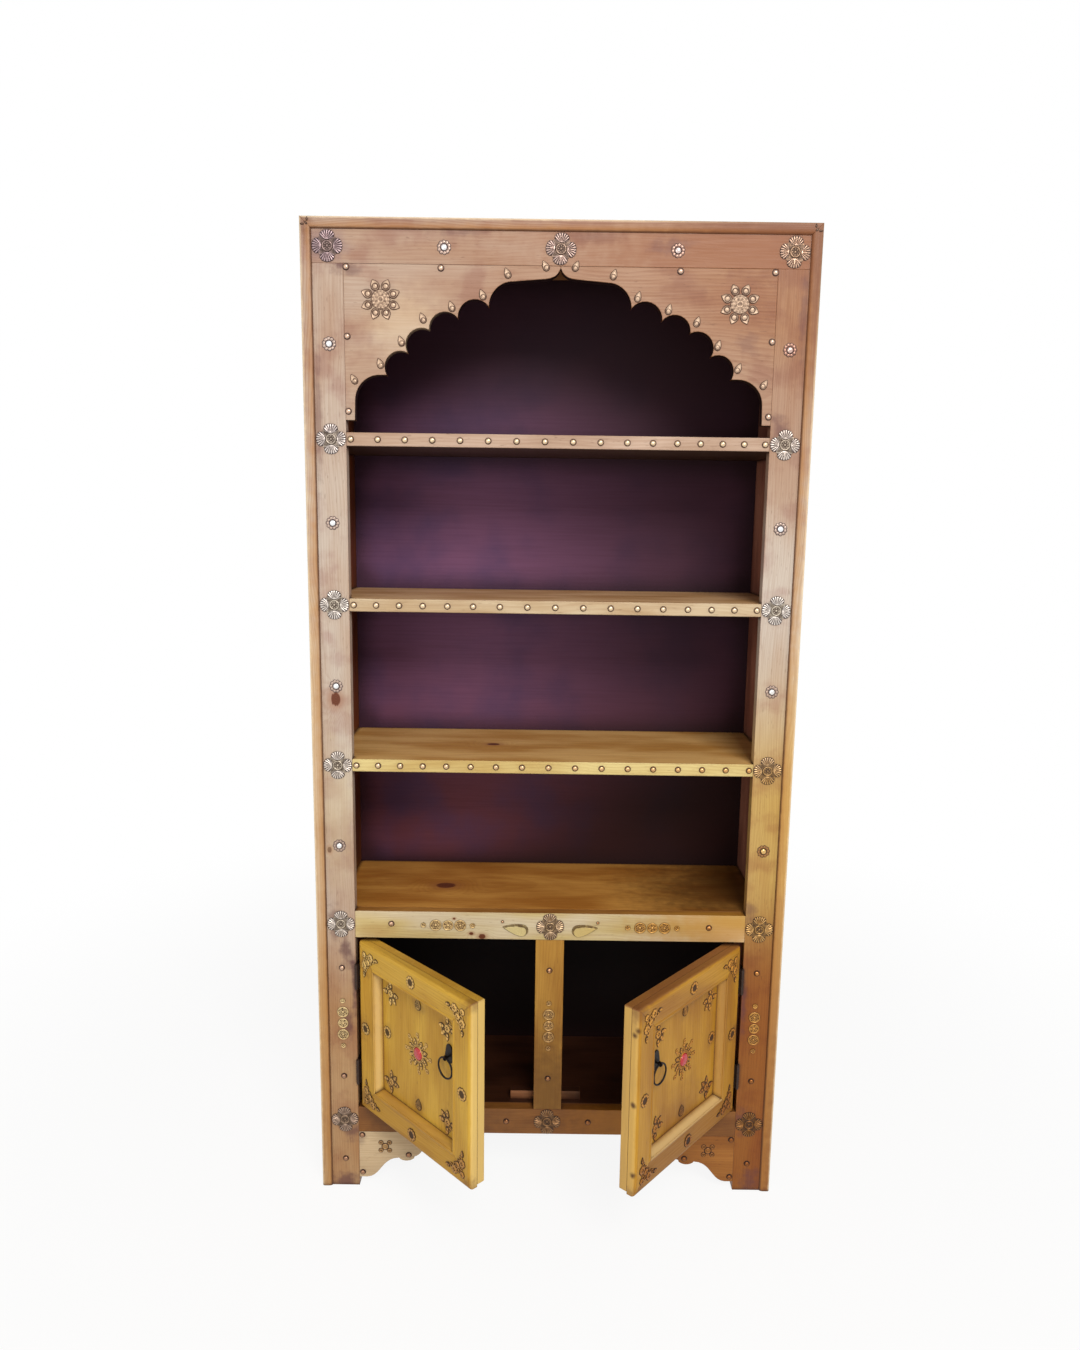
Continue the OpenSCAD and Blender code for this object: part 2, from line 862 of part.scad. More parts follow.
module door_ornaments() {
    mid_x = door_w / 2;
    mid_z = door_h / 2;
    face_mid = (member_w - slope_w) / 2;
    panel_x = mid_x - member_w - panel_spray_in;
    panel_z = mid_z - member_w - panel_spray_in;
    for (sx = [-1, 1])
        for (sz = [-1, 1]) {
            turn = sx > 0 ? (sz > 0 ? 0 : -90) : (sz > 0 ? 90 : 180);
            on_door(mid_x + sx * panel_x, door_front_t, mid_z + sz * panel_z, turn)
                corner_spray(panel_spray);
            on_door(mid_x + sx * (mid_x - frame_spray_in), 0, mid_z + sz * (mid_z - frame_spray_in), turn)
                corner_fan(corner_reach);
        }
    for (sz = [-1, 1]) {
        on_door(mid_x, 0, mid_z + sz * (mid_z - face_mid + 2))
            flower();
        on_door(mid_x, door_front_t, mid_z + sz * (mid_z - member_w - panel_tear_in), 90)
            teardrop(panel_tear_r, panel_tear_tip);
    }
    for (sx = [-1, 1])
        on_door(mid_x + sx * (mid_x - side_flower_in), 0, mid_z)
            flower();
    on_door(member_w + panel_flower_in, door_front_t, mid_z + panel_flower_up)
        flower();
    on_door(mid_x, door_front_t, mid_z + 5)
        star();
}
module door_stone() {
    on_door(door_w / 2, door_front_t, door_h / 2 + 5)
        dome(stone_r, stone_h);
}

// Ring pull: a tall round-ended plate, a bored eye that stands off it, and a ring that hangs in the eye
eye_wall = 2.6;
eye_length = 2.8;
eye_clear = 0.3;
eye_bore_r = wire_r + eye_clear;
eye_r = eye_bore_r + eye_wall;
plate_t = 2;
plate_head_r = plate_r * 0.72;
plate_toe_r = plate_r * 0.8;
plate_rise = 15;
plate_drop = 5;
neck_r = 1.8;
module at_pull() {
    translate([door_w - pull_inset, door_front_t, door_h / 2 + pull_rise])
        children();
}
module pull_plate() {
    eye_y = -pull_standoff;
    at_pull() {
        rotate([90, 0, 0]) {
            linear_extrude(plate_t) {
                translate([0, -plate_drop])
                    circle(plate_toe_r);
                circle(plate_r);
                translate([0, plate_rise])
                    circle(plate_head_r);
                polygon([[-plate_r, 0], [-plate_head_r, plate_rise], [plate_head_r, plate_rise], [plate_r, 0],
                    [plate_toe_r, -plate_drop], [-plate_toe_r, -plate_drop]]);
            }
            cylinder(r = neck_r, h = pull_standoff - (eye_bore_r + eye_r) / 2);
        }
        translate([0, eye_y, 0])
            rotate([0, 90, 0])
                difference() {
                    cylinder(r = eye_r, h = eye_length, center = true);
                    cylinder(r = eye_bore_r, h = eye_length + 2, center = true);
                }
    }
}
module pull_ring() {
    at_pull()
        translate([0, -pull_standoff, -ring_r])
            rotate([90, 0, 0])
                rotate_extrude($fn = 96)
                    translate([ring_r, 0])
                        circle(wire_r);
}

module left_door_board() {
    color(gold_pine) hang(0) door_board();
}
module left_door_hinge_stile() {
    color(gold_pine) hang(0) hinge_stile();
}
module left_door_lock_stile() {
    color(gold_pine) hang(0) lock_stile();
}
module left_door_top_member() {
    color(gold_pine) hang(0) top_member();
}
module left_door_bottom_member() {
    color(gold_pine) hang(0) bottom_member();
}
module left_door_leaves() {
    color(iron) hang(0) door_pin() leaf([1]);
}
module left_door_screws() {
    color(iron) hang(0) door_pin() leaf_screws();
}
module left_door_ornaments() {
    color(brass) hang(0) door_ornaments();
}
module left_door_stone() {
    color(red_stone) hang(0) door_stone();
}
module left_pull_plate() {
    color(iron) hang(0) pull_plate();
}
module left_pull_ring() {
    color(iron) hang(0) pull_ring();
}
module right_door_board() {
    color(gold_pine) hang(1) door_board();
}
module right_door_hinge_stile() {
    color(gold_pine) hang(1) hinge_stile();
}
module right_door_lock_stile() {
    color(gold_pine) hang(1) lock_stile();
}
module right_door_top_member() {
    color(gold_pine) hang(1) top_member();
}
module right_door_bottom_member() {
    color(gold_pine) hang(1) bottom_member();
}
module right_door_leaves() {
    color(iron) hang(1) door_pin() leaf([1]);
}
module right_door_screws() {
    color(iron) hang(1) door_pin() leaf_screws();
}
module right_door_ornaments() {
    color(brass) hang(1) door_ornaments();
}
module right_door_stone() {
    color(red_stone) hang(1) door_stone();
}
module right_pull_plate() {
    color(iron) hang(1) pull_plate();
}
module right_pull_ring() {
    color(iron) hang(1) pull_ring();
}

left_side_board();
right_side_board();
top_board();
back_panel();
upper_shelf();
middle_shelf();
lower_shelf();
deck_board();
floor_board();
left_stile();
right_stile();
top_rail();
mid_rail();
bottom_rail();
mullion();
left_spandrel();
right_spandrel();
left_bracket();
right_bracket();
left_trim();
right_trim();
top_trim();
door_stop();
frame_rosettes();
frame_flowers();
spandrel_flowers();
arch_teardrops();
shelf_studs();
frame_studs();
medallion_chains();
paisley_plaques();
bracket_clusters();
frame_hinge_leaves();
hinge_pins();
frame_hinge_screws();
left_door_board();
left_door_hinge_stile();
left_door_lock_stile();
left_door_top_member();
left_door_bottom_member();
left_door_leaves();
left_door_screws();
left_door_ornaments();
left_door_stone();
left_pull_plate();
left_pull_ring();
right_door_board();
right_door_hinge_stile();
right_door_lock_stile();
right_door_top_member();
right_door_bottom_member();
right_door_leaves();
right_door_screws();
right_door_ornaments();
right_door_stone();
right_pull_plate();
right_pull_ring();
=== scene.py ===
"""Looks for the pine bookshelf: waxed pine, a plum-stained back, brass, iron and red stones.

Sizes are in millimetres unless a comment says metres, and the meshes are turned to metres as they
are made. X runs to the right, Y towards the wall and Z up, from where the back panel meets the
floor.
"""
import logging
import math
import random
from collections.abc import Callable, Iterable
from dataclasses import dataclass, field
from enum import Enum

import bmesh
import bpy
import numpy as np
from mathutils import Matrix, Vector


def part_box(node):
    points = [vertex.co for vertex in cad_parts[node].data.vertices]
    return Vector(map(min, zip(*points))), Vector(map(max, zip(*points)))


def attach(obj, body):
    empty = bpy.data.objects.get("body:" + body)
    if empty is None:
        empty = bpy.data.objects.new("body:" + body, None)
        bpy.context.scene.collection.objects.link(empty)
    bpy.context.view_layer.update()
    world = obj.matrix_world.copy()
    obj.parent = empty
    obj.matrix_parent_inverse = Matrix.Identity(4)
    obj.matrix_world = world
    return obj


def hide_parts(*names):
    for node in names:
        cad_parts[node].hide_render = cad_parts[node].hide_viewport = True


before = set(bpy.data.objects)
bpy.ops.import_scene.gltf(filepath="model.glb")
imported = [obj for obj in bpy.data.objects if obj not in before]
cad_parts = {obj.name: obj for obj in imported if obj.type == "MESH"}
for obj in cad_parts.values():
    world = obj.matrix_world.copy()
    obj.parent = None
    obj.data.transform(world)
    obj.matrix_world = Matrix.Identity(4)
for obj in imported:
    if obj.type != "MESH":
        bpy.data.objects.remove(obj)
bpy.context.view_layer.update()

LOG = logging.getLogger("bookshelf")
MM = 0.001
LONG = 1e5

Colour = tuple[float, float, float, float]
Pair = tuple[float, float]
Triple = tuple[float, float, float]
Face = tuple[int, ...]
Grid = np.ndarray
Place = Callable[[Grid], Grid]
Material = bpy.types.Material
Node = bpy.types.Node
Socket = bpy.types.NodeSocket
Tree = bpy.types.NodeTree
Value = Socket | float | str | tuple[float, ...]

SMOOTH = {"interpolation_type": "SMOOTHSTEP"}
OVER = {"out": 2, "data_type": "RGBA"}
TIMES = OVER | {"blend_type": "MULTIPLY"}


def span(node: str, axis: int) -> Pair:
    """Gives a CAD node's low and high side along an axis, in millimetres."""
    low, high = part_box(node)
    return low[axis] / MM, high[axis] / MM


def linear(hex_colour: str) -> Colour:
    """Turns an sRGB hex colour to linear light.

    Args:
        hex_colour: the colour as "#rrggbb".

    Returns:
        Linear red, green and blue, and an alpha of 1.
    """
    parts = [int(hex_colour[i:i + 2], 16) / 255 for i in (1, 3, 5)]
    light = [c / 12.92 if c <= 0.04045 else ((c + 0.055) / 1.055) ** 2.4 for c in parts]
    return (*light, 1.0)


def plug(tree: Tree, node: Node, inputs: dict[int | str, Value]) -> None:
    """Links or sets a node's inputs.

    Args:
        tree: the node tree.
        node: the node.
        inputs: input name or number to another node's output or to a value; hex is made linear.
    """
    for key, value in inputs.items():
        if isinstance(value, Socket):
            tree.links.new(value, node.inputs[key])
        else:
            node.inputs[key].default_value = linear(value) if isinstance(value, str) else value


def add(tree: Tree, kind: str, inputs: dict | tuple = (), out: int | str = 0, **settings) -> Socket:
    """Adds a node with its settings and its links.

    Args:
        tree: the node tree that it goes into.
        kind: the node's type name without its "ShaderNode", then its operation if it has one.
        inputs: what the first inputs get, in turn, or a dict by input name or number.
        out: the name or number of the output that is wanted.
        **settings: the node's own properties.

    Returns:
        That output, or the node itself where it has none.
    """
    name, *operation = kind.split()
    node = tree.nodes.new(name if name.startswith("Node") else "ShaderNode" + name)
    for key, value in (settings | dict(zip(["operation"], operation))).items():
        setattr(node, key, value)
    plug(tree, node, inputs if isinstance(inputs, dict) else dict(enumerate(inputs)))
    return node.outputs[out] if node.outputs else node


def tinted(tree: Tree, colour: Value, tint: Value, value: Socket, starts: float, full: float,
           share: float = 1.0, blend: dict[str, int | str] = OVER) -> Socket:
    """Lays a tint on a colour where a value runs from one number to another.

    Args:
        tree: the node tree.
        colour: what lies under it.
        tint: the tint.
        value: what decides where it lies.
        starts: the value where it starts.
        full: the value where it is full.
        share: how much of it shows there, from 0 to 1.
        blend: OVER to cover the colour, TIMES to soak into it.

    Returns:
        The colour with the tint.
    """
    reach = add(tree, "MapRange", (value, starts, full, 0.0, share), **SMOOTH)
    return add(tree, "Mix", {0: reach, 6: colour, 7: tint}, **blend)


def afar(tree: Tree, point: Socket, at: Value, squeeze: Triple) -> Socket:
    """Measures how far a point is from a place.

    Args:
        tree: the node tree.
        point: the point.
        at: the place.
        squeeze: what the way along each axis is multiplied by.

    Returns:
        The squeezed distance.
    """
    way = add(tree, "VectorMath SUBTRACT", (point, at))
    squeezed = add(tree, "VectorMath MULTIPLY", (way, squeeze))
    return add(tree, "VectorMath LENGTH", (squeezed,), "Value")


def surface(name: str) -> tuple[Material, Tree, Node]:
    """Starts a material.

    Args:
        name: the material's name.

    Returns:
        The material, its node tree and its shader.
    """
    material = bpy.data.materials.new(name)
    material.use_nodes = True
    tree = material.node_tree
    return material, tree, tree.nodes["Principled BSDF"]


# Wood


class Grain(Enum):
    """Which of the case's axes a board's grain runs along, across and into."""

    UPRIGHT = ("Z", "X", "Y")
    LEVEL = ("X", "Z", "Y")
    SHELF = ("X", "Y", "Z")
    SIDE = ("Z", "Y", "X")


@dataclass(frozen=True)
class Knot:
    """A knot, by its place along and across the board and its radius."""

    along: float
    across: float
    radius: float


@dataclass(frozen=True)
class Stain:
    """A mark in the wood: its place, reach, depth from 0 to 1, colour and how ragged it is."""

    at: Triple
    reach: Triple
    depth: float = 0.6
    tint: str = "#553038"
    ragged: float = 1.6


@dataclass(frozen=True)
class Tone:
    """The paler and the deeper colour that wax and years have given a board."""

    pale: str
    deep: str


@dataclass(frozen=True)
class Lining:
    """Another tone, where a board is nearer than a limit to the case's middle or the wall."""

    axis: int
    limit: float
    tone: Tone


def growth_rings() -> Tree:
    """Builds the pine's figure: the rings of a log that each board is sawn from.

    The rings are 3 to 6 mm apart, as in slow-grown pine, and bend where the pith wanders, which
    gives the arched figure of flat-sawn boards.

    Returns:
        A node group from a point in the board, in millimetres, to the figure's parts.
    """
    tree = bpy.data.node_groups.new("pine_growth_rings", "ShaderNodeTree")
    sockets = {"Point": "Vector", "Pith": "Vector", "Ring": "Float", "Push": "Float"}
    for name, kind in sockets.items():
        tree.interface.new_socket(name=name, in_out="INPUT", socket_type="NodeSocket" + kind)
    for name in ("Latewood", "Fibre", "Mottle", "Fleck"):
        tree.interface.new_socket(name=name, in_out="OUTPUT", socket_type="NodeSocketFloat")
    given = add(tree, "NodeGroupInput").node.outputs
    point, pith = given["Point"], given["Pith"]
    # Each board's pith also shifts the noise, so that no two boards share a pattern
    lot = add(tree, "VectorMath MULTIPLY", (pith, (0.37, 0.61, 0.23)))

    def noise(along: float, across: float, detail: float, out: int = 0) -> Socket:
        """Adds noise with features of this length and width, in millimetres."""
        scaled = add(tree, "VectorMath MULTIPLY_ADD",
                     (point, (1 / along, 1 / across, 1 / across), lot))
        return add(tree, "TexNoise", {"Vector": scaled, "Scale": 1.0, "Detail": detail}, out)

    drift = add(tree, "VectorMath MULTIPLY_ADD",
                (noise(420, 140, 1, 1), (0, 60, 44), (0, -30, -22)))
    moved = add(tree, "VectorMath ADD", (point, drift))
    radius = afar(tree, moved, pith, (0, 1, 1))
    # Good and lean years follow each other every 19 mm or so
    slow = add(tree, "Math MULTIPLY", (radius, 1 / 19))
    pace = add(tree, "TexNoise", {"W": slow, "Scale": 1.0, "Detail": 1.0}, noise_dimensions="1D")
    rippled = add(tree, "Math MULTIPLY_ADD", (noise(80, 24, 2), 5.0, radius))
    uneven = add(tree, "Math MULTIPLY_ADD", (pace, 9.0, rippled))
    pushed = add(tree, "Math ADD", (uneven, given["Push"]))
    year = add(tree, "Math FRACT", (add(tree, "Math DIVIDE", (pushed, given["Ring"])),))
    rise = add(tree, "MapRange", (year, 0.25, 0.85), **SMOOTH)
    fall = add(tree, "MapRange", (year, 1.0, 0.92), **SMOOTH)
    add(tree, "NodeGroupOutput", {
        "Latewood": add(tree, "Math MULTIPLY", (rise, fall)),
        "Fibre": noise(70, 2.4, 3),
        "Mottle": noise(210, 60, 2),
        "Fleck": add(tree, "MapRange", (noise(16, 2.2, 1), 0.68, 0.76)),
    })
    return tree


@dataclass(frozen=True)
class Layer:
    """A tint over the case: the heights in metres where it starts and is full, and its share.

    The share is `left` at the left side, and `gain` more at the right.
    """

    tint: str
    starts: float
    full: float
    gain: float
    left: float


def tint_over_case(name: str, bare: str, *layers: Layer) -> Tree:
    """Builds a colour that changes over the case, as light, smoke and hands changed it, and in the
    pine also as painted light and shade.

    Args:
        name: the node group's name.
        bare: the colour before any layer.
        *layers: the layers, the first one lowest.

    Returns:
        A node group with one output, the colour at a point of the case.
    """
    tree = bpy.data.node_groups.new(name, "ShaderNodeTree")
    tree.interface.new_socket(name="Colour", in_out="OUTPUT", socket_type="NodeSocketColor")
    x, _, z = add(tree, "SeparateXYZ", (add(tree, "TexCoord", out="Object"),)).node.outputs
    right = add(tree, "MapRange", (x, -0.45, 0.45))
    colour = bare
    for layer in layers:
        mask = add(tree, "MapRange", (z, layer.starts, layer.full), **SMOOTH)
        share = add(tree, "Math MULTIPLY_ADD", (right, layer.gain, layer.left))
        laid = add(tree, "Math MULTIPLY", (share, mask))
        colour = add(tree, "Mix", {0: laid, 6: colour, 7: layer.tint}, **OVER)
    add(tree, "NodeGroupOutput", {"Colour": colour})
    return tree


RINGS = growth_rings()
# Straw where the sun bleached it, honey to the right, rosy above, amber and rust below: partly the
# wood's tone, partly painted light and shade, palest at the upper left and darkest at the lower
# right
WEATHER_AND_LIGHT = tint_over_case("pine_weathering_and_painted_light", "#c7bcb0",
                     Layer("#c09b40", 1.15, 0.80, 0.90, 0.0),
                     Layer("#9c7150", 1.20, 1.75, 0.75, 0.37),
                     Layer("#ab7a20", 0.60, 0.36, 0.10, 0.66),
                     Layer("#8a4a14", 0.68, 0.44, 0.85, 0.0))
# What the same years did to the metal: golden to the right, brown near the floor, and smoke above
AGED = (Layer("#e8bd78", 1.10, 0.75, 1.25, 0.06), Layer("#a87438", 0.45, 0.15, 0.40, 0.58))
PATINA = tint_over_case("brass_patina", "#ffffff", *AGED)
SMOKED = tint_over_case("smoked_brass_patina", "#ffffff", *AGED,
                    Layer("#c4aebc", 1.35, 1.70, -0.65, 0.95),
                    Layer("#dcac80", 1.35, 1.75, 0.70, 0.0))
FLUSHED = tint_over_case("flushed_tin_patina", "#ffffff", *AGED,
                     Layer("#d89c80", 1.30, 1.60, 0.80, -0.08))


@dataclass(frozen=True)
class WaxedPine:
    """Planed pine under old wax: warm soft grain, with a low sheen, and dirt and painted shade in
    its corners.
    """

    node: str
    grain: Grain
    pith: Pair
    tone: Tone | None = None
    ring: float = 5.0
    figure: float = 0.13
    turn: float = 0.0
    knots: tuple[Knot, ...] = ()
    stains: tuple[Stain, ...] = ()
    lining: Lining | None = None
    seam: float | None = None
    latewood: str = "#b0764a"
    fibres: str = "#b98f68"
    flecks: str = "#7c4a30"
    blotches: str = "#dfba98"
    damp: str = "#d2b0b2"
    knot_halo: str = "#9a5f38"
    knot_heart: Tone = Tone("#6e3a22", "#2a120c")
    seam_line: str = "#4a2a14"
    worn_edge_and_highlight: str = "#8a5228"
    # Dirt and painted shade in the corners
    corner_grime_and_shade: str = "#3d2014"

    def _points(self, tree: Tree) -> tuple[Socket, Socket]:
        """Finds the point that is being coloured, in millimetres.

        Args:
            tree: the node tree.

        Returns:
            The point in the case's axes, and in the board's.
        """
        place = add(tree, "TexCoord", out="Object")
        if self.turn:
            angle = math.radians(self.turn)
            place = add(tree, "VectorRotate", {"Vector": place, "Angle": angle},
                        rotation_type="Z_AXIS")
        place = add(tree, "VectorMath SCALE", {0: place, "Scale": 1 / MM})
        axes = add(tree, "SeparateXYZ", (place,)).node.outputs
        return place, add(tree, "CombineXYZ", tuple(axes[a] for a in self.grain.value))

    def _near_knots(self, tree: Tree, board: Socket) -> tuple[list[Socket], Value]:
        """Measures the way to each knot, in knot radii, and how the knots push the rings aside.

        Args:
            tree: the node tree.
            board: the point in the board's axes.

        Returns:
            The distance to each knot, and the push in millimetres.
        """
        near, push = [], 0.0
        for knot in self.knots:
            near.append(afar(tree, board, (knot.along, knot.across, 0),
                             (0.7 / knot.radius, 1 / knot.radius, 0)))
            fade = add(tree, "MapRange", (near[-1], 0.0, 4.5, 2.6 * knot.radius, 0.0), **SMOOTH)
            push = add(tree, "Math ADD", (fade, push))
        return near, push

    def _base(self, tree: Tree, place: Socket, mottle: Socket) -> Socket:
        """Gives the board's colour before its grain: its tone, and its lining's.

        Args:
            tree: the node tree.
            place: the point in the case's axes.
            mottle: broad noise.

        Returns:
            The colour.
        """
        low, high = 0.34, 0.68
        if self.tone is None:
            # The frame's colour over the case, partly painted light and shade
            weather_and_light = add(tree, "Group", node_tree=WEATHER_AND_LIGHT)
            colour = tinted(tree, weather_and_light, self.blotches, mottle, low, high, 0.5, TIMES)
            # Mauve blotches of about 60 mm, left by damp
            cloud = add(tree, "TexNoise", {"Vector": place, "Scale": 1 / 60, "Detail": 4.0})
            colour = tinted(tree, colour, self.damp, cloud, 0.46, 0.68, 0.5, TIMES)
        else:
            colour = tinted(tree, self.tone.pale, self.tone.deep, mottle, low, high)
        if self.lining is not None:
            way = add(tree, "SeparateXYZ", (place,)).node.outputs[self.lining.axis]
            out, edge = add(tree, "Math ABSOLUTE", (way,)), self.lining.limit
            lined = add(tree, "MapRange", (out, edge + 0.3, edge - 0.3))
            other = tinted(tree, self.lining.tone.pale, self.lining.tone.deep, mottle, low, high)
            colour = add(tree, "Mix", {0: lined, 6: colour, 7: other}, **OVER)
        return colour

    def _knot(self, tree: Tree, colour: Socket, far: Socket, fibre: Socket) -> Socket:
        """Paints one knot: a red-brown heart with its own rings, inside a dark line of bark.

        Args:
            tree: the node tree.
            colour: the wood's colour.
            far: the distance to the knot, in its radii.
            fibre: fine noise, which roughens the knot's edge.

        Returns:
            The colour with the knot.
        """
        rough = add(tree, "Math MULTIPLY_ADD", (fibre, 0.7, far))
        rings = add(tree, "Math PINGPONG", (add(tree, "Math MULTIPLY", (far, 3.4)), 0.45))
        heart = {0: rings, 6: self.knot_heart.pale, 7: self.knot_heart.deep}
        colour = tinted(tree, colour, self.knot_halo, rough, 2.9, 1.2, 0.45)
        return tinted(tree, colour, add(tree, "Mix", heart, **OVER), rough, 1.45, 1.2)

    def _marks(self, tree: Tree, colour: Socket, place: Socket) -> Socket:
        """Lays on the stains, the seam, the brown of worn edges, and dirt and painted shade in the
        corners.

        Args:
            tree: the node tree.
            colour: the wood's colour.
            place: the point in the case's axes.

        Returns:
            The colour with its marks.
        """
        # Ragged edges of about 17 mm
        cloud = add(tree, "TexNoise", {"Vector": place, "Scale": 1 / 17, "Detail": 3.0})
        for stain in self.stains:
            far = afar(tree, place, stain.at, tuple(1 / r for r in stain.reach))
            torn = add(tree, "Math MULTIPLY_ADD", (cloud, stain.ragged, far))
            edge = 1.0 + stain.ragged / 2
            colour = tinted(tree, colour, stain.tint, torn, edge, edge - 0.9, stain.depth)
        if self.seam is not None:
            depth = add(tree, "SeparateXYZ", (place,)).node.outputs[1]
            colour = tinted(tree, colour, self.seam_line, depth, self.seam - 1.6,
                            self.seam - 0.7, 0.5)
        thin = add(tree, "AmbientOcclusion", {"Distance": 2.5 * MM}, "AO", samples=4, inside=True)
        colour = tinted(tree, colour, self.worn_edge_and_highlight, thin, 0.85, 0.45, 0.4)
        # Dirt and painted shade: darker within 10 mm of inner corners, joints and the brass
        corner = add(tree, "AmbientOcclusion", {"Distance": 10 * MM}, "AO", samples=6)
        return tinted(tree, colour, self.corner_grime_and_shade, corner, 0.94, 0.5, 0.9)

    def make(self) -> Material:
        """Builds the material.

        Returns:
            The finished material.
        """
        material, tree, shader = surface(f"pine_{self.node}")
        place, board = self._points(tree)
        near, push = self._near_knots(tree, board)
        sawn = {"Point": board, "Pith": (0, *self.pith), "Ring": self.ring, "Push": push}
        late, fibre, mottle, fleck = add(tree, "Group", sawn, node_tree=RINGS).node.outputs
        colour = self._base(tree, place, mottle)
        ringed = add(tree, "Math MULTIPLY", (late, self.figure))
        colour = add(tree, "Mix", {0: ringed, 6: colour, 7: self.latewood}, **TIMES)
        colour = tinted(tree, colour, self.fibres, fibre, 0.35, 0.7, 0.17, TIMES)
        specks = add(tree, "Math MULTIPLY", (fleck, 0.3))
        colour = add(tree, "Mix", {0: specks, 6: colour, 7: self.flecks}, **TIMES)
        for far in near:
            colour = self._knot(tree, colour, far, fibre)
        # Brushing and wear leave the latewood about 0.15 mm proud, drawn at 0.3 mm so that it shows
        ridges = add(tree, "Math MULTIPLY_ADD", (late, 0.5, fibre))
        plug(tree, shader, {
            "Base Color": self._marks(tree, colour, place),
            "Roughness": add(tree, "MapRange", (fibre, 0.3, 0.7, 0.40, 0.54)),
            "Normal": add(tree, "Bump", {"Height": ridges, "Strength": 0.15, "Distance": 0.3 * MM}),
            "IOR": 1.48, "Specular IOR Level": 0.3, "Coat Weight": 0.06, "Coat Roughness": 0.35})
        return material


@dataclass(frozen=True)
class PlumStain:
    """Plain boards under a thin matt stain: the grain shows through it as darker level streaks."""

    name: str = "plum_stained_board"
    upper: str = "#82587c"
    lower: str = "#744250"
    streaks: str = "#8a6a68"
    blotches: str = "#44406c"
    # Painted shade and shadow over the back: to the right, high up, low on the right, in the
    # cupboard, and near the boards around it
    painted_shadows: tuple[str, str, str, str] = ("#2e1518", "#2a191e", "#1e0a02", "#0c0303")
    corners: str = "#1d0d0e"

    def make(self) -> Material:
        """Builds the material.

        Returns:
            The finished material.
        """
        material, tree, shader = surface(self.name)
        place = add(tree, "TexCoord", out="Object")
        x, y, z = add(tree, "SeparateXYZ", (place,)).node.outputs
        colour = tinted(tree, self.lower, self.upper, z, 0.72, 1.05)
        # Streaks of 4 mm that run level for 150 mm, and blotches of 200 mm where the stain took
        # unevenly
        stretched = add(tree, "VectorMath MULTIPLY", (place, (1 / 0.15, 1, 1 / 0.004)))
        fine = add(tree, "TexNoise", {"Vector": stretched, "Scale": 1.0, "Detail": 3.0})
        broad = add(tree, "TexNoise", {"Vector": place, "Scale": 1 / 0.2, "Detail": 5.0})
        colour = tinted(tree, colour, self.streaks, fine, 0.34, 0.72, 0.15, TIMES)
        colour = tinted(tree, colour, self.blotches, broad, 0.44, 0.68, 0.5)
        # Painted shade and shadow lie on the front face alone: the right stile's shadow to the
        # right, the arch's shadow high up, shadow low on the right and the dark inside the cupboard
        front = add(tree, "MapRange", (y, -1 * MM, -3 * MM))
        slant = add(tree, "Math MULTIPLY_ADD", (z, -2.0, x))
        for tint, (value, starts, full, share) in zip(self.painted_shadows, (
                (x, -0.28, 0.32, 0.8), (z, 1.36, 1.68, 0.86), (slant, -1.60, -1.12, 0.75),
                (z, 0.60, 0.56, 1.0))):
            reach = add(tree, "MapRange", (value, starts, full, 0.0, share), **SMOOTH)
            laid = add(tree, "Math MULTIPLY", (reach, front))
            colour = add(tree, "Mix", {0: laid, 6: colour, 7: tint}, **OVER)
        # Painted shade: darker within 60 mm of the boards around the back
        corner = add(tree, "AmbientOcclusion", {"Distance": 60 * MM}, "AO", samples=6)
        plug(tree, shader, {
            "Base Color": tinted(tree, colour, self.corners, corner, 0.95, 0.45, 0.8),
            "Normal": add(tree, "Bump", {"Height": fine, "Strength": 0.25, "Distance": 0.3 * MM}),
            "Roughness": 0.6, "Specular IOR Level": 0.15})
        return material


# Metal and stone


@dataclass(frozen=True)
class PressedSheet:
    """Thin sheet pressed in a die: bright where hands rub it, with brown oxide in its hollows."""

    name: str
    bright: str
    oxide: str
    gloss: float = 0.4
    worn: float = 0.5
    metal: float = 0.7
    patina: Tree = PATINA

    def make(self) -> Material:
        """Builds the material.

        Returns:
            The finished material.
        """
        material, tree, shader = surface(self.name)
        rub = add(tree, "Attribute", out="Fac", attribute_name="rub")
        # Oxide lies in blotches of about 6 mm
        place = add(tree, "TexCoord", out="Object")
        blotch = add(tree, "TexNoise", {"Vector": place, "Scale": 160.0, "Detail": 3.0})
        both = add(tree, "Math MULTIPLY_ADD", (blotch, 0.7, rub))
        clean = add(tree, "MapRange", (both, self.worn, self.worn + 0.6), **SMOOTH)
        colour = add(tree, "Mix", {0: clean, 6: self.oxide, 7: self.bright}, **OVER)
        patina = add(tree, "Group", node_tree=self.patina)
        plug(tree, shader, {
            "Base Color": add(tree, "Mix", {0: 1.0, 6: colour, 7: patina}, **TIMES),
            "Metallic": add(tree, "MapRange", (clean, 0.0, 1.0, 0.2, self.metal)),
            "Roughness": add(tree, "MapRange", (clean, 0.0, 1.0, 0.7, self.gloss)),
            "Normal": add(tree, "Bump", {"Height": blotch, "Strength": 0.3, "Distance": 0.2 * MM})})
        return material


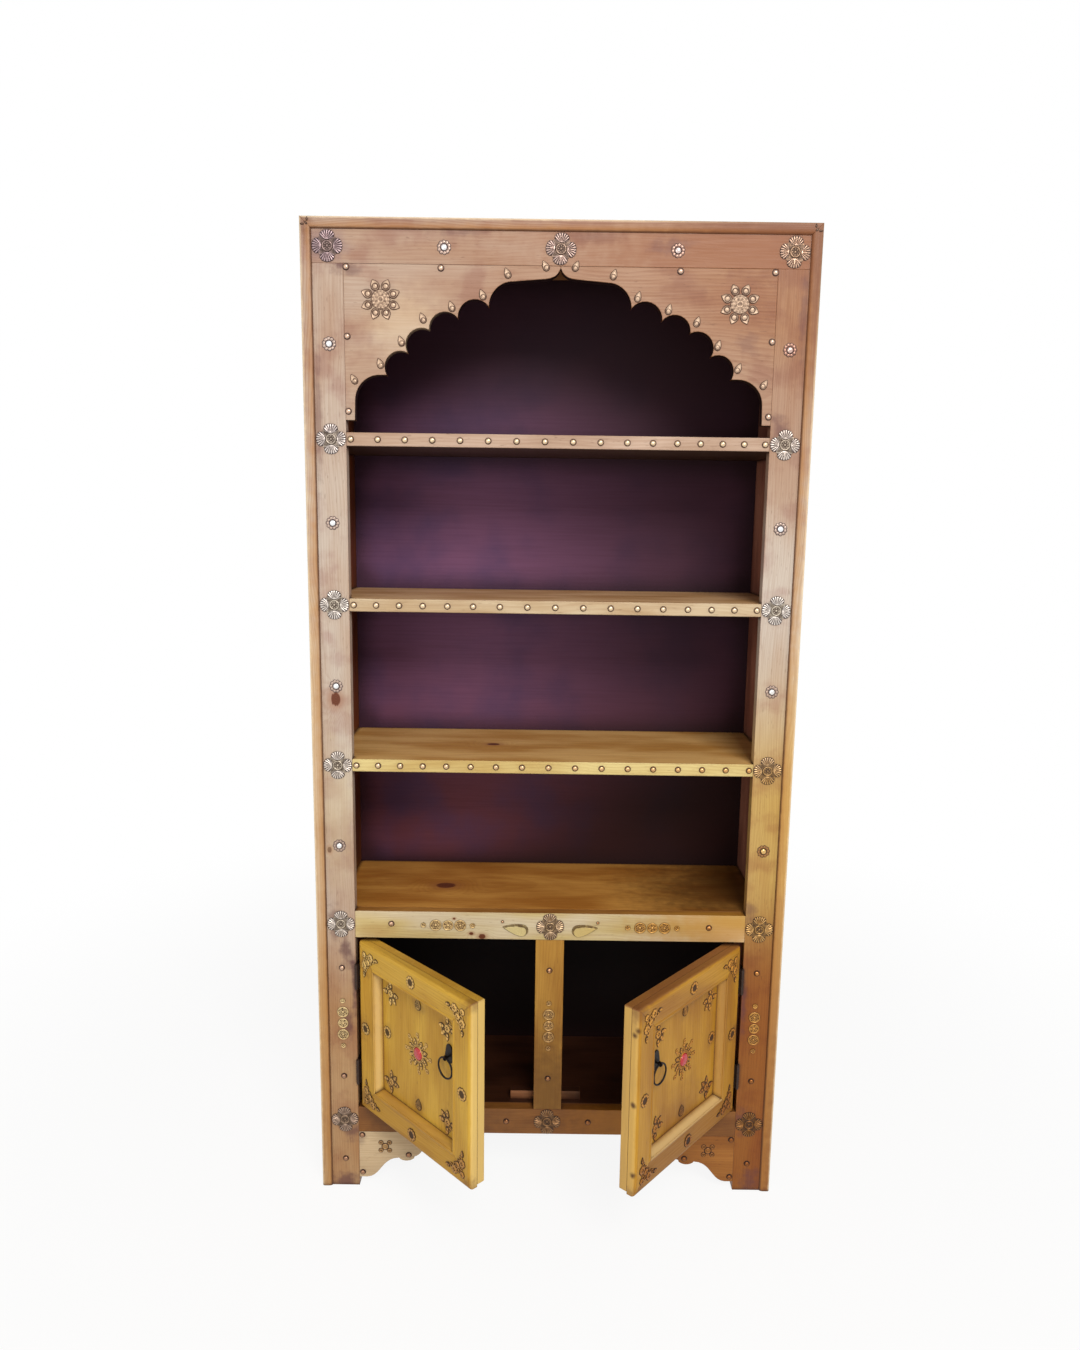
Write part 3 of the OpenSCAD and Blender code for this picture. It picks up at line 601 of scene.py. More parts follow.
@dataclass(frozen=True)
class BlackIron:
    """Forged iron blackened in oil: a dark soft sheen, with hammer marks and a bloom of rust."""

    name: str = "blackened_forged_iron"
    skin: str = "#15100f"
    rusty: str = "#3c2219"

    def make(self) -> Material:
        """Builds the material.

        Returns:
            The finished material.
        """
        material, tree, shader = surface(self.name)
        place = add(tree, "TexCoord", out="Object")
        # Rust in spots of about 4 mm, hammer marks 3 mm apart
        spots = add(tree, "TexNoise", {"Vector": place, "Scale": 240.0, "Detail": 4.0})
        marks = add(tree, "TexVoronoi", {"Vector": place, "Scale": 330.0}, feature="SMOOTH_F1")
        plug(tree, shader, {
            "Base Color": tinted(tree, self.skin, self.rusty, spots, 0.52, 0.72, 0.6),
            "Roughness": add(tree, "MapRange", (spots, 0.3, 0.7, 0.38, 0.6)),
            "Normal": add(tree, "Bump", {"Height": marks, "Strength": 0.4, "Distance": 0.4 * MM}),
            "Metallic": 0.6})
        return material


@dataclass(frozen=True)
class RedCabochon:
    """Red glass polished to a dome: a wet highlight over a body with cloudy paler veins."""

    name: str = "polished_red_glass_stone"
    body: str = "#b00c1e"
    veins: str = "#cc2a34"

    def make(self) -> Material:
        """Builds the material.

        Returns:
            The finished material.
        """
        material, tree, shader = surface(self.name)
        place = add(tree, "TexCoord", out="Object")
        # Veins about 4 mm apart
        cloud = {"Vector": place, "Scale": 260.0, "Detail": 3.0, "Distortion": 1.2}
        colour = tinted(tree, self.body, self.veins, add(tree, "TexNoise", cloud), 0.45, 0.7)
        plug(tree, shader, {"Base Color": colour, "Roughness": 0.25, "IOR": 1.52,
                            "Coat Weight": 0.4, "Coat Roughness": 0.1})
        return material


BRASS = PressedSheet("aged_pressed_brass", "#c0b6a6", "#4c3e34", patina=SMOKED).make()
TIN = PressedSheet("tinned_pressed_brass", "#dad2ca", "#3a2c30", 0.36, 0.46, patina=SMOKED).make()
LACE = PressedSheet("tinned_flower_lace", "#ae9a8e", "#38262e", 0.36, 0.42, 0.5, FLUSHED).make()
PALE = PressedSheet("pale_rubbed_brass", "#d8c492", "#503a28", 0.42, 0.42, 0.4).make()
WARM = PressedSheet("warm_rubbed_brass", "#bda28a", "#4c3224", 0.45, 0.42, 0.4).make()
CREAM = PressedSheet("cream_rubbed_brass", "#dde0b6", "#5a482c", 0.42, 0.36, 0.3).make()
TARNISH = PressedSheet("tarnished_pressed_brass", "#e4c478", "#4e3a14", 0.40, 0.44, 0.55).make()
NAIL = PressedSheet("copper_washed_nail", "#dcc4a2", "#46281a", 0.28, 0.56).make()
CHROME = PressedSheet("polished_nail", "#c8aa94", "#3e2622", 0.28, 0.58, 0.75).make()
MIRROR = PressedSheet("polished_tin_boss", "#f2f4f6", "#5a5458", 0.16, 0.3, 0.9, FLUSHED).make()
IRON = BlackIron().make()
# Painted highlight: the hinge iron is greyer than the pull's, standing in for the shine along the
# knuckles
HINGE = BlackIron("hinge_iron_greyed_for_painted_highlight", "#3c2e28", "#402818").make()
STONE = RedCabochon().make()


# Meshes


@dataclass
class Plate:
    """A closed mesh in millimetres, drawn flat in X and Y and standing up in Z."""

    points: Grid
    faces: list[Face]
    rub: Grid

    def mirrored(self) -> "Plate":
        """Gives the same plate, turned over left to right."""
        return Plate(self.points * (-1, 1, 1), [face[::-1] for face in self.faces], self.rub)

    def flat_back(self) -> "Plate":
        """Joins the faces of the flat back, which is hidden, into a few.

        Returns:
            The same plate with fewer faces.
        """
        bm, flush = bmesh.new(), 1e-6
        layer = bm.verts.layers.float.new("rub")
        for point, shine in zip(self.points, self.rub):
            bm.verts.new(point)[layer] = shine
        bm.verts.ensure_lookup_table()
        for face in self.faces:
            bm.faces.new([bm.verts[v] for v in face])
        bm.normal_update()
        low = [v for v in bm.verts if abs(v.co.z) < flush]
        flat = [e for e in bm.edges if all(abs(v.co.z) < flush for v in e.verts)
                and all(f.normal.z < -0.9 for f in e.link_faces)]
        bmesh.ops.dissolve_limit(bm, angle_limit=0.02, use_dissolve_boundaries=False,
                                 edges=flat, verts=low)
        bm.verts.index_update()
        joined = Plate(np.array([v.co[:] for v in bm.verts]),
                       [tuple(v.index for v in f.verts) for f in bm.faces],
                       np.array([v[layer] for v in bm.verts]))
        bm.free()
        return joined


@dataclass
class Sheet:
    """A drawing over the plane: how far inside its edge each point is, its height and its shine."""

    inside: Grid
    height: Grid
    rub: Grid

    def over(self, other: "Sheet") -> "Sheet":
        """Lays this drawing over another one.

        Args:
            other: the lower drawing.

        Returns:
            Both together.
        """
        top = self.inside > 0
        return Sheet(np.maximum(self.inside, other.inside),
                     np.where(top, self.height, other.height),
                     np.where(top, self.rub, other.rub))


def stack(sheets: list[Sheet]) -> Sheet:
    """Lays drawings over each other.

    Args:
        sheets: the drawings, the lowest one first.

    Returns:
        All of them together.
    """
    whole = sheets[0]
    for sheet in sheets[1:]:
        whole = sheet.over(whole)
    return whole


def ridge(distance: Grid, width: float) -> Grid:
    """Gives a rounded ridge where the distance is nought."""
    return np.exp(-((distance / width) ** 2))


def spot(angle: float, reach: float) -> Pair:
    """Gives the point at an angle in degrees and a reach."""
    return reach * math.cos(math.radians(angle)), reach * math.sin(math.radians(angle))


def around(n: int, start: float = 0.0) -> list[float]:
    """Gives n even angles, in degrees."""
    return [start + 360 * k / n for k in range(n)]


@dataclass(frozen=True)
class Ground:
    """The points that a drawing covers: how far across and how far up they are from its middle."""

    x: Grid
    y: Grid

    @property
    def far(self) -> Grid:
        """How far each point is from the middle."""
        return np.hypot(self.x, self.y)

    def about(self, at: Pair, turn: float = 0.0) -> "Ground":
        """Moves the middle.

        Args:
            at: the new middle.
            turn: how far its X is turned, in degrees.

        Returns:
            The same points from there.
        """
        x, y, (c, s) = self.x - at[0], self.y - at[1], spot(turn, 1)
        return Ground(x * c + y * s, y * c - x * s)

    def out(self, angle: float, reach: float = 0.0) -> "Ground":
        """Moves the middle out along an angle, with X pointing outward."""
        return self.about(spot(angle, reach), angle)

    def waves(self, n: float) -> Grid:
        """Gives n even beads about the middle, from 0 to 1."""
        return 0.5 + 0.5 * np.cos(np.arctan2(self.y, self.x) * n)


def drop(g: Ground, r: float, tip: float) -> Grid:
    """Draws the outline of a teardrop.

    Args:
        g: the points from the middle of its round end, with X along it.
        r: the round end's radius.
        tip: how far away its tip is.

    Returns:
        How far inside it each point is.
    """
    half = r * np.cos(np.clip(g.x / tip, 0, 1) * math.pi / 2) ** 0.85
    return np.where(g.x > 0, np.minimum(half - np.abs(g.y), tip - g.x), r - g.far)


def leaf(g: Ground, r: float, tip: float, shine: float = 0.68) -> Sheet:
    """Draws a bright leaf in a dark outline, with a pip in a dark ring.

    Args:
        g: the points, as for a teardrop.
        r: the round end's radius.
        tip: how far away its tip is.
        shine: how bright it is rubbed.

    Returns:
        The drawing.
    """
    f = drop(g, r, tip)
    body = np.clip((f - 0.6) / 1.2, 0, 1) ** 2
    pip, moat = ridge(g.far, r * 0.28), ridge(g.far - r * 0.58, r * 0.16)
    return Sheet(f, 0.5 + 0.9 * ridge(f - 1.6, 0.9) + 1.1 * pip,
                 0.05 + shine * body - 0.62 * moat + 0.3 * shine * pip)


def bloom(g: Ground, reach: float, petals: int, start: float = 0.0) -> Sheet:
    """Draws a lace flower: a bead in a dark ring, and bright petals in dark outlines.

    Args:
        g: the points.
        reach: its radius.
        petals: how many it has.
        start: the angle of the first.

    Returns:
        The drawing.
    """
    small = reach * math.sin(math.pi / petals) * 0.92
    petal = small - np.min([g.out(a, reach - small).far for a in around(petals, start)], 0)
    body, pip = np.clip(petal / (small * 0.6), 0, 1), ridge(g.far, reach * 0.17)
    moat = ridge(g.far - reach * 0.28, reach * 0.07)
    ring = ridge(g.far - reach * 0.42, reach * 0.09)
    bright = np.maximum(body * (g.far > reach * 0.5), ring)
    return Sheet(np.maximum(petal, reach * 0.62 - g.far), 0.4 + 0.8 * body + ring + 1.5 * pip,
                 0.05 + 0.7 * bright - 0.4 * moat + 0.9 * pip)


def curl(g: Ground, r: float, wire: float) -> Sheet:
    """Draws a small ring of wire.

    Args:
        g: the points.
        r: its radius.
        wire: half the wire's width.

    Returns:
        The drawing.
    """
    f = wire - np.abs(g.far - r)
    crown = np.sqrt(np.clip(f / wire, 0, 1))
    return Sheet(f, 0.4 + 0.9 * crown, 0.05 + 0.75 * crown)


@dataclass(frozen=True)
class Ornament:
    """A piece that a die presses and cuts out of sheet.

    It reaches so far from its middle, and is drawn on a grid of so fine a pitch. Its cut edge is
    `rim` high and `dull`, and it is nowhere thinner than `thin`.
    """

    reach: float = 10.0
    pitch: float = 0.65
    rim: float = 0.35
    thin: float = 0.2
    dull: float = 0.1

    def draw(self, g: Ground) -> Sheet:
        """Draws the piece on the ground: each kind of piece has its own drawing."""
        raise NotImplementedError

    def strike(self) -> Plate:
        """Presses one plate: the sheet is cut along the line where the drawing's inside is nought.

        Returns:
            A closed plate with its back on Z = 0, and how bright each point is rubbed.
        """
        half = self.reach + 1
        n = int(2 * half / self.pitch) + 1
        axis = np.linspace(-half, half, n)
        x, y = np.meshgrid(axis, axis, indexing="ij")
        sheet = self.draw(Ground(x, y))
        # A point almost on the line counts as outside, so that no face is thinner than this
        least = 0.02
        level = np.where(np.abs(sheet.inside) < least, -least, sheet.inside)
        points = [*zip(x.ravel(), y.ravel(), np.maximum(sheet.height, self.thin).ravel())]
        shine = list(np.clip(sheet.rub, 0, 1).ravel())
        filled, level = level > 0, level.ravel()
        cuts: dict[tuple[int, int], int] = {}
        tops: list[Face] = []
        rims: list[tuple[int, int]] = []

        def cut(a: int, b: int) -> int:
            """Finds where the sheet's edge crosses the way between two points.

            Args:
                a: a point's number.
                b: the number of the next one.

            Returns:
                The number of the point on the edge.
            """
            key = (min(a, b), max(a, b))
            if key not in cuts:
                t = level[key[0]] / (level[key[0]] - level[key[1]])
                p, q = points[key[0]], points[key[1]]
                cuts[key] = len(points)
                points.append((p[0] + t * (q[0] - p[0]), p[1] + t * (q[1] - p[1]), self.rim))
                shine.append(self.dull)
            return cuts[key]

        # A square that lies inside stays whole, and one on the line is cut in two triangles
        corners = [filled[:-1, :-1], filled[1:, :-1], filled[1:, 1:], filled[:-1, 1:]]
        whole = np.logical_and.reduce(corners)
        for i, j in zip(*np.nonzero(np.logical_or.reduce(corners))):
            a = int(i * n + j)
            b, c, d = a + n, a + n + 1, a + 1
            if whole[i, j]:
                tops.append((a, b, c, d))
                continue
            for triangle in ((a, b, c), (a, c, d)):
                ring, crossed = [], {}
                for p, q in zip(triangle, triangle[1:] + triangle[:1]):
                    if level[p] > 0:
                        ring.append(p)
                    if (level[p] > 0) != (level[q] > 0):
                        ring.append(cut(p, q))
                        crossed[bool(level[p] > 0)] = ring[-1]
                if len(ring) > 2:
                    tops.append(tuple(ring))
                    if len(crossed) == 2:
                        rims.append((crossed[True], crossed[False]))
        # The back is the top laid flat, and a wall joins the two along the edge
        used = sorted({v for face in tops for v in face})
        fresh = {v: k for k, v in enumerate(used)}
        top, m = np.array([points[v] for v in used]), len(used)
        faces = [tuple(fresh[v] for v in face) for face in tops]
        faces += [tuple(fresh[v] + m for v in reversed(face)) for face in tops]
        faces += [(fresh[a], fresh[a] + m, fresh[b] + m, fresh[b]) for a, b in rims]
        rub = np.array([shine[v] for v in used] + [self.dull] * m)
        return Plate(np.vstack([top, top * (1, 1, 0)]), faces, rub).flat_back()


def lathe(profile: list[Pair], sides: int) -> Plate:
    """Turns a profile about Z.

    Args:
        profile: radius and height from the rim on Z = 0 to the crown at radius 0.
        sides: points round each ring.

    Returns:
        A closed plate.
    """
    turns = [2 * math.pi * k / sides for k in range(sides)]
    points = [(r * math.cos(t), r * math.sin(t), z) for r, z in profile[:-1] for t in turns]
    points.append((0, 0, profile[-1][1]))
    rows = len(profile) - 1
    faces: list[Face] = [tuple(range(sides - 1, -1, -1))]
    for low in range(0, (rows - 1) * sides, sides):
        high = low + sides
        faces += [(low + k, low + (k + 1) % sides, high + (k + 1) % sides, high + k)
                  for k in range(sides)]
    last = (rows - 1) * sides
    faces += [(last + k, last + (k + 1) % sides, len(points) - 1) for k in range(sides)]
    top = max(z for _, z in profile)
    return Plate(np.array(points), faces, np.array([p[2] / top for p in points]))


def nail(r: float, high: float, sides: int) -> Plate:
    """Turns a domed nail head on a thin flange.

    Args:
        r: its radius.
        high: its height.
        sides: points round it.

    Returns:
        A closed plate.
    """
    flange = [(r, 0), (r * 0.97, 0.45), (r * 0.84, 0.5)]
    crown = [(0.82 * r * math.cos(a), 0.5 + (high - 0.5) * math.sin(a))
             for a in (0.12, 0.5, 0.85, 1.15, 1.4)]
    return lathe([*flange, *crown, (0, high)], sides)


@dataclass
class Piece:
    """One named object, gathered from plates that are put in their places."""

    name: str
    body: str
    slot: str
    material: Material
    replaces: tuple[str, ...] = ()
    flipped: bool = False
    crease: float = 50.0
    points: list[Grid] = field(default_factory=list)
    faces: list[Face] = field(default_factory=list)
    rub: list[Grid] = field(default_factory=list)
    count: int = 0

    def put(self, plate: Plate, place: Place) -> None:
        """Adds a plate.

        Args:
            plate: the plate, flat.
            place: turns its points to points of the case, in millimetres.
        """
        self.points.append(place(plate.points))
        step = -1 if self.flipped else 1
        self.faces += [tuple(v + self.count for v in face)[::step] for face in plate.faces]
        self.rub.append(plate.rub)
        self.count += len(plate.points)

    def finish(self) -> None:
        """Makes the object, hangs it on its body and hides what it stands for."""
        mesh = bpy.data.meshes.new(self.name)
        mesh.from_pydata((np.vstack(self.points) * MM).tolist(), [], self.faces)
        attribute = mesh.attributes.new("rub", "FLOAT", "POINT")
        attribute.data.foreach_set("value", np.concatenate(self.rub).astype(np.float32))
        mesh.polygons.foreach_set("use_smooth", [True] * len(mesh.polygons))
        mesh.set_sharp_from_angle(angle=math.radians(self.crease))
        mesh.materials.append(self.material)
        piece = bpy.data.objects.new(self.name, mesh)
        bpy.context.scene.collection.objects.link(piece)
        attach(piece, self.body)
        if self.replaces:
            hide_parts(*self.replaces)
        LOG.info("%s rides on %s: %d points", self.name, self.body, len(mesh.vertices))


# Ornaments


@dataclass(frozen=True)
class Shells(Ornament):
    """Four shells with flutes that fan out from their hinges inside a beaded rim."""

    reach: float = 26.4
    pitch: float = 0.6
    deep: float = 8.2
    wide: float = 12.6
    hinge: float = 7.8
    flutes: int = 24

    def _shell(self, g: Ground) -> Sheet:
        """Draws one shell.

        Args:
            g: the points, with X along the shell.

        Returns:
            The drawing.
        """
        middle, fan = self.reach - self.deep, g.about((self.hinge, 0))
        rib = fan.waves(self.flutes)
        oval = 1 - ((g.x - middle) / self.deep) ** 2 - (g.y / self.wide) ** 2
        e = oval + 0.10 * (rib - 0.7) * (g.x > middle)
        crown = np.sqrt(np.clip(e, 0, 1))
        bright = 1 - np.clip((fan.far - 3.0) / 2.5, 0, 1) * (1 - rib)
        return Sheet(e * 6, 0.5 + 2.0 * crown * (0.3 + 0.7 * bright),
                     0.05 + 0.95 * bright * np.clip(crown * 1.5, 0, 1))

    def draw(self, g: Ground) -> Sheet:
        """Draws the four shells."""
        return stack([self._shell(g.out(a)) for a in around(4)])


@dataclass(frozen=True)
class ShellBack(Ornament):
    """The rosette's boss with its rings of beads, and the thin leaves between the shells."""

    reach: float = 26.0
    pitch: float = 0.7
    boss: float = 10.3

    def draw(self, g: Ground) -> Sheet:
        """Draws the leaves and the boss over them.

        Args:
            g: the points.

        Returns:
            The drawing.
        """
        leaves = []
        for a in around(4, 45):
            f = drop(g.out(a, 12.5), 5.6, 8.0)
            leaves.append(Sheet(f, 0.5 + 0.25 * ridge(f - 1, 0.8), 0.36 + 0.2 * ridge(f - 1, 0.8)))
        rim, pip = ridge(g.far - 8.0, 1.3), ridge(g.far, 1.9)
        beads = g.waves(8) * ridge(g.far - 4.8, 1.1)
        boss = Sheet(self.boss - g.far, 0.9 + 1.9 * rim + beads + 1.5 * pip,
                     0.12 + 0.62 * rim + 0.55 * beads + 0.6 * pip)
        return boss.over(stack(leaves))


@dataclass(frozen=True)
class FlowerLace(Ornament):
    """A ring of lace petals, with a dark beaded collar for the polished boss."""

    reach: float = 12.4
    pitch: float = 0.6
    petals: int = 10
    collar: float = 7.2

    def draw(self, g: Ground) -> Sheet:
        """Draws the petals and the collar over them."""
        beads = ridge(g.far - self.collar + 0.6, 0.8) * g.waves(self.petals * 2)
        return Sheet(self.collar - g.far, 0.4 + beads, 0.5 * beads).over(
            bloom(g, self.reach, self.petals))


@dataclass(frozen=True)
class BigFlower(Ornament):
    """Eight pointed petals about a beaded middle."""

    reach: float = 36.0
    pitch: float = 0.75
    petal: float = 7.9
    tip: float = 12.245
    middle: float = 16.6

    def draw(self, g: Ground) -> Sheet:
        """Draws the petals and the middle over them.

        Args:
            g: the points.

        Returns:
            The drawing.
        """
        petals = [leaf(g.out(a, self.reach - self.tip), self.petal, self.tip, 0.6)
                  for a in around(8, 22.5)]
        inner = ridge(g.far - 8.6, 1.5) * g.waves(8)
        outer = ridge(g.far - 13.9, 1.4) * g.waves(14)
        rings = ridge(g.far - 4.6, 1.0) + 0.6 * ridge(g.far - 11.2, 0.6)
        edge = self.middle - g.far + 1.2 * (g.waves(16) - 0.5)
        centre = Sheet(edge, 0.7 + 1.9 * inner + 1.4 * outer + rings,
                       0.3 * np.clip(edge, 0, 1) + 0.6 * inner + 0.5 * outer + 0.4 * rings)
        return centre.over(stack(petals))


@dataclass(frozen=True)
class Teardrop(Ornament):
    """A drop with a raised rim and a pip; it reaches as far as its tip."""

    reach: float = 13.4
    pitch: float = 0.55
    radius: float = 6.2

    def draw(self, g: Ground) -> Sheet:
        """Draws the drop."""
        return leaf(g, self.radius, self.reach)


@dataclass(frozen=True)
class VeinedDrop(Teardrop):
    """A flat drop with fine veins in place of the rim."""

    reach: float = 14.4
    radius: float = 9.0

    def draw(self, g: Ground) -> Sheet:
        """Draws the drop.

        Args:
            g: the points.

        Returns:
            The drawing.
        """
        f = drop(g, self.radius, self.reach)
        veins = 0.5 + 0.5 * np.cos((g.x * 0.6 + np.abs(g.y)) * 2.4)
        return Sheet(f, 0.5 + 0.5 * veins + 0.4 * ridge(f - 1, 0.7), 0.12 + 0.4 * veins * (f > 1.5))


@dataclass(frozen=True)
class Medallion(Ornament):
    """A coin of wound wire: a rim, smaller rings and a bead."""

    reach: float = 10.4
    pitch: float = 0.6
    inner: int = 6
    bright: float = 0.7

    def draw(self, g: Ground) -> Sheet:
        """Draws the coin.

        Args:
            g: the points.

        Returns:
            The drawing.
        """
        r = self.reach
        holes = r * 0.24 - np.min([g.out(a, r * 0.55).far for a in around(self.inner)], 0)
        rim, wires = ridge(g.far - r * 0.87, 0.9), ridge(holes - 0.7, 0.6)
        bead = ridge(g.far, r * 0.17)
        return Sheet(r - g.far + 0.4 * (g.waves(18) - 0.5),
                     0.4 + 1.2 * rim + 0.8 * wires + 1.7 * bead,
                     (0.16 + 0.75 * rim + 0.5 * wires + 0.9 * bead) * self.bright)


@dataclass(frozen=True)
class Eyelet(Ornament):
    """A ring of metal about a dark hole with a bead in it."""

    reach: float = 5.0
    pitch: float = 0.45
    bead: float = 0.15

    def draw(self, g: Ground) -> Sheet:
        """Draws the eyelet.

        Args:
            g: the points.

        Returns:
            The drawing.
        """
        r = self.reach
        rim, bead = ridge(g.far - r * 0.6, r * 0.17), ridge(g.far, r * self.bead)
        return Sheet(r - g.far, 0.4 + 1.5 * rim + 1.6 * bead, 1.2 * rim + 1.2 * bead)


@dataclass(frozen=True)
class Paisley(Ornament):
    """A pale veined leaf that lies on a brown one, below its upper edge."""

    reach: float = 38.6
    pitch: float = 0.75
    radius: float = 11.8
    sunk: float = 3.0

    def draw(self, g: Ground) -> Sheet:
        """Draws the brown leaf and the pale one over it.

        Args:
            g: the points.

        Returns:
            The drawing.
        """
        band = drop(g, self.radius, self.reach)
        under = Sheet(band, 0.5 + 0.9 * ridge(band - 1.6, 1.2), 0.14 + 0.1 * ridge(band - 1.6, 1.0))
        pale = Ground(g.x - 0.5, g.y + self.sunk - 2.0 * np.clip(g.x / self.reach, 0, 1))
        f = drop(pale, self.radius - 2.6, self.reach - 4.5)
        dots = [g.about((c, c * 0.05 - self.sunk)) for c in (10, 15, 20, 25)]
        pips = np.max([ridge(dot.far, 1.0) for dot in dots], 0)
        vein = np.where(g.x < 7, 0.5 + 0.5 * np.cos(g.x * 1.5), 1 - pips) * (f > 2.4)
        return Sheet(f, 1.3 + 0.5 * ridge(f - 1.0, 0.8) + 0.3 * vein,
                     0.2 + 0.5 * np.clip(f, 0, 1) + 0.35 * vein).over(under)


@dataclass(frozen=True)
class PanelSpray(Ornament):
    """A lace flower with leaves that reach into a panel's corner and along both sides."""

    reach: float = 25.8
    size: float = 38.0

    def draw(self, g: Ground) -> Sheet:
        """Draws the curls, the leaves and the flower over them.

        Args:
            g: the points.

        Returns:
            The drawing.
        """
        k = self.size
        curls = [curl(g.out(a, k * 0.34), 3.0, 1.0) for a in (202, 248, 28, 62)]
        leaves = [leaf(g.out(a, k * 0.36), k * 0.15, k * 0.30) for a in (180, 225, 270, 0, 90)]
        return stack([*curls, *leaves, bloom(g, k * 0.22, 8)])


@dataclass(frozen=True)
class CornerFan(Ornament):
    """A stud on the mitre, a flower and leaf along each member, and curls and a flower between."""

    reach: float = 46.6
    arm: float = 40.0
    curls: tuple[Pair, ...] = ((0.28, 0.06), (0.06, 0.28), (0.50, 0.26), (0.26, 0.50),
                               (0.74, 0.10), (0.10, 0.74))

    def draw(self, g: Ground) -> Sheet:
        """Draws the fan, with its stud at the middle and its arms along -X and -Y.

        Args:
            g: the points.

        Returns:
            The drawing.
        """
        k = self.arm
        parts = [curl(g.about((-a * k, -b * k)), 0.085 * k, 1.0) for a, b in self.curls]
        for a in (180, 270):
            parts.append(leaf(g.out(a, k * 0.94), k * 0.10, k * 0.22))
            parts.append(bloom(g.about(spot(a, k * 0.53)), k * 0.22, 7, a))
        between = bloom(g.about((-0.31 * k, -0.31 * k)), k * 0.17, 6)
        return stack([*parts, between, bloom(g, k * 0.17, 6, 30)])


@dataclass(frozen=True)
class Star(Ornament):
    """Eight curled arms and eight lobes of wire about the stone's bezel."""

    reach: float = 40.5
    pitch: float = 0.72
    stone: float = 12.2

    def _arm(self, g: Ground) -> Sheet:
        """Draws one arm: a stem that sways and ends in a curl.

        Args:
            g: the points, with X along the arm.

        Returns:
            The drawing.
        """
        sway = 2.4 * np.sin((g.x - 17) / 16 * math.pi)
        stem = np.minimum(np.minimum(g.x - 15, 34 - g.x), 1.5 - np.abs(g.y - sway))
        stalk = Sheet(stem, 0.5 + 0.8 * np.sqrt(np.clip(stem / 1.5, 0, 1)),
                      0.05 + 0.75 * np.clip(stem, 0, 1))
        bead = 2.9 - g.about((28.5, -0.4)).far
        knob = Sheet(bead, 0.5 + 0.5 * np.clip(bead, 0, 2), 0.2 + 0.35 * np.clip(bead, 0, 2))
        return stack([stalk, curl(g.about((36.2, 2.2)), 3.0, 1.4), knob])

    def draw(self, g: Ground) -> Sheet:
        """Draws the arms, the lobes and the bezel over them.

        Args:
            g: the points.

        Returns:
            The drawing.
        """
        parts = [self._arm(g.out(a)) for a in around(8)]
        parts += [leaf(g.out(a, 20.5), 5.4, 9.8) for a in around(8, 22.5)]
        beads, rim = ridge(g.far - 16.2, 1.2) * (0.2 + 0.8 * g.waves(20)), ridge(g.far - 13.4, 0.9)
        bezel = Sheet(18.4 - g.far, 0.4 + 0.9 * beads + 1.6 * rim, 0.1 + 0.7 * beads + 0.6 * rim)
        whole = stack([*parts, bezel])
        whole.inside = np.minimum(whole.inside, g.far - self.stone - 0.1)
        return whole


# The sub-assemblies

FRONT = span("left_stile", 1)[0]


def blot(x: float, z: float, wide: float, high: float, depth: float = 0.6, tint: str = "#553038",
         ragged: float = 1.6) -> Stain:
    """Marks the face frame's front.

    Args:
        x: across.
        z: up.
        wide: its reach sideways.
        high: its reach upward.
        depth: how strong it is, from 0 to 1.
        tint: its colour.
        ragged: how ragged its edge is.

    Returns:
        The stain.
    """
    return Stain((x, FRONT, z), (wide, 30, high), depth, tint, ragged)


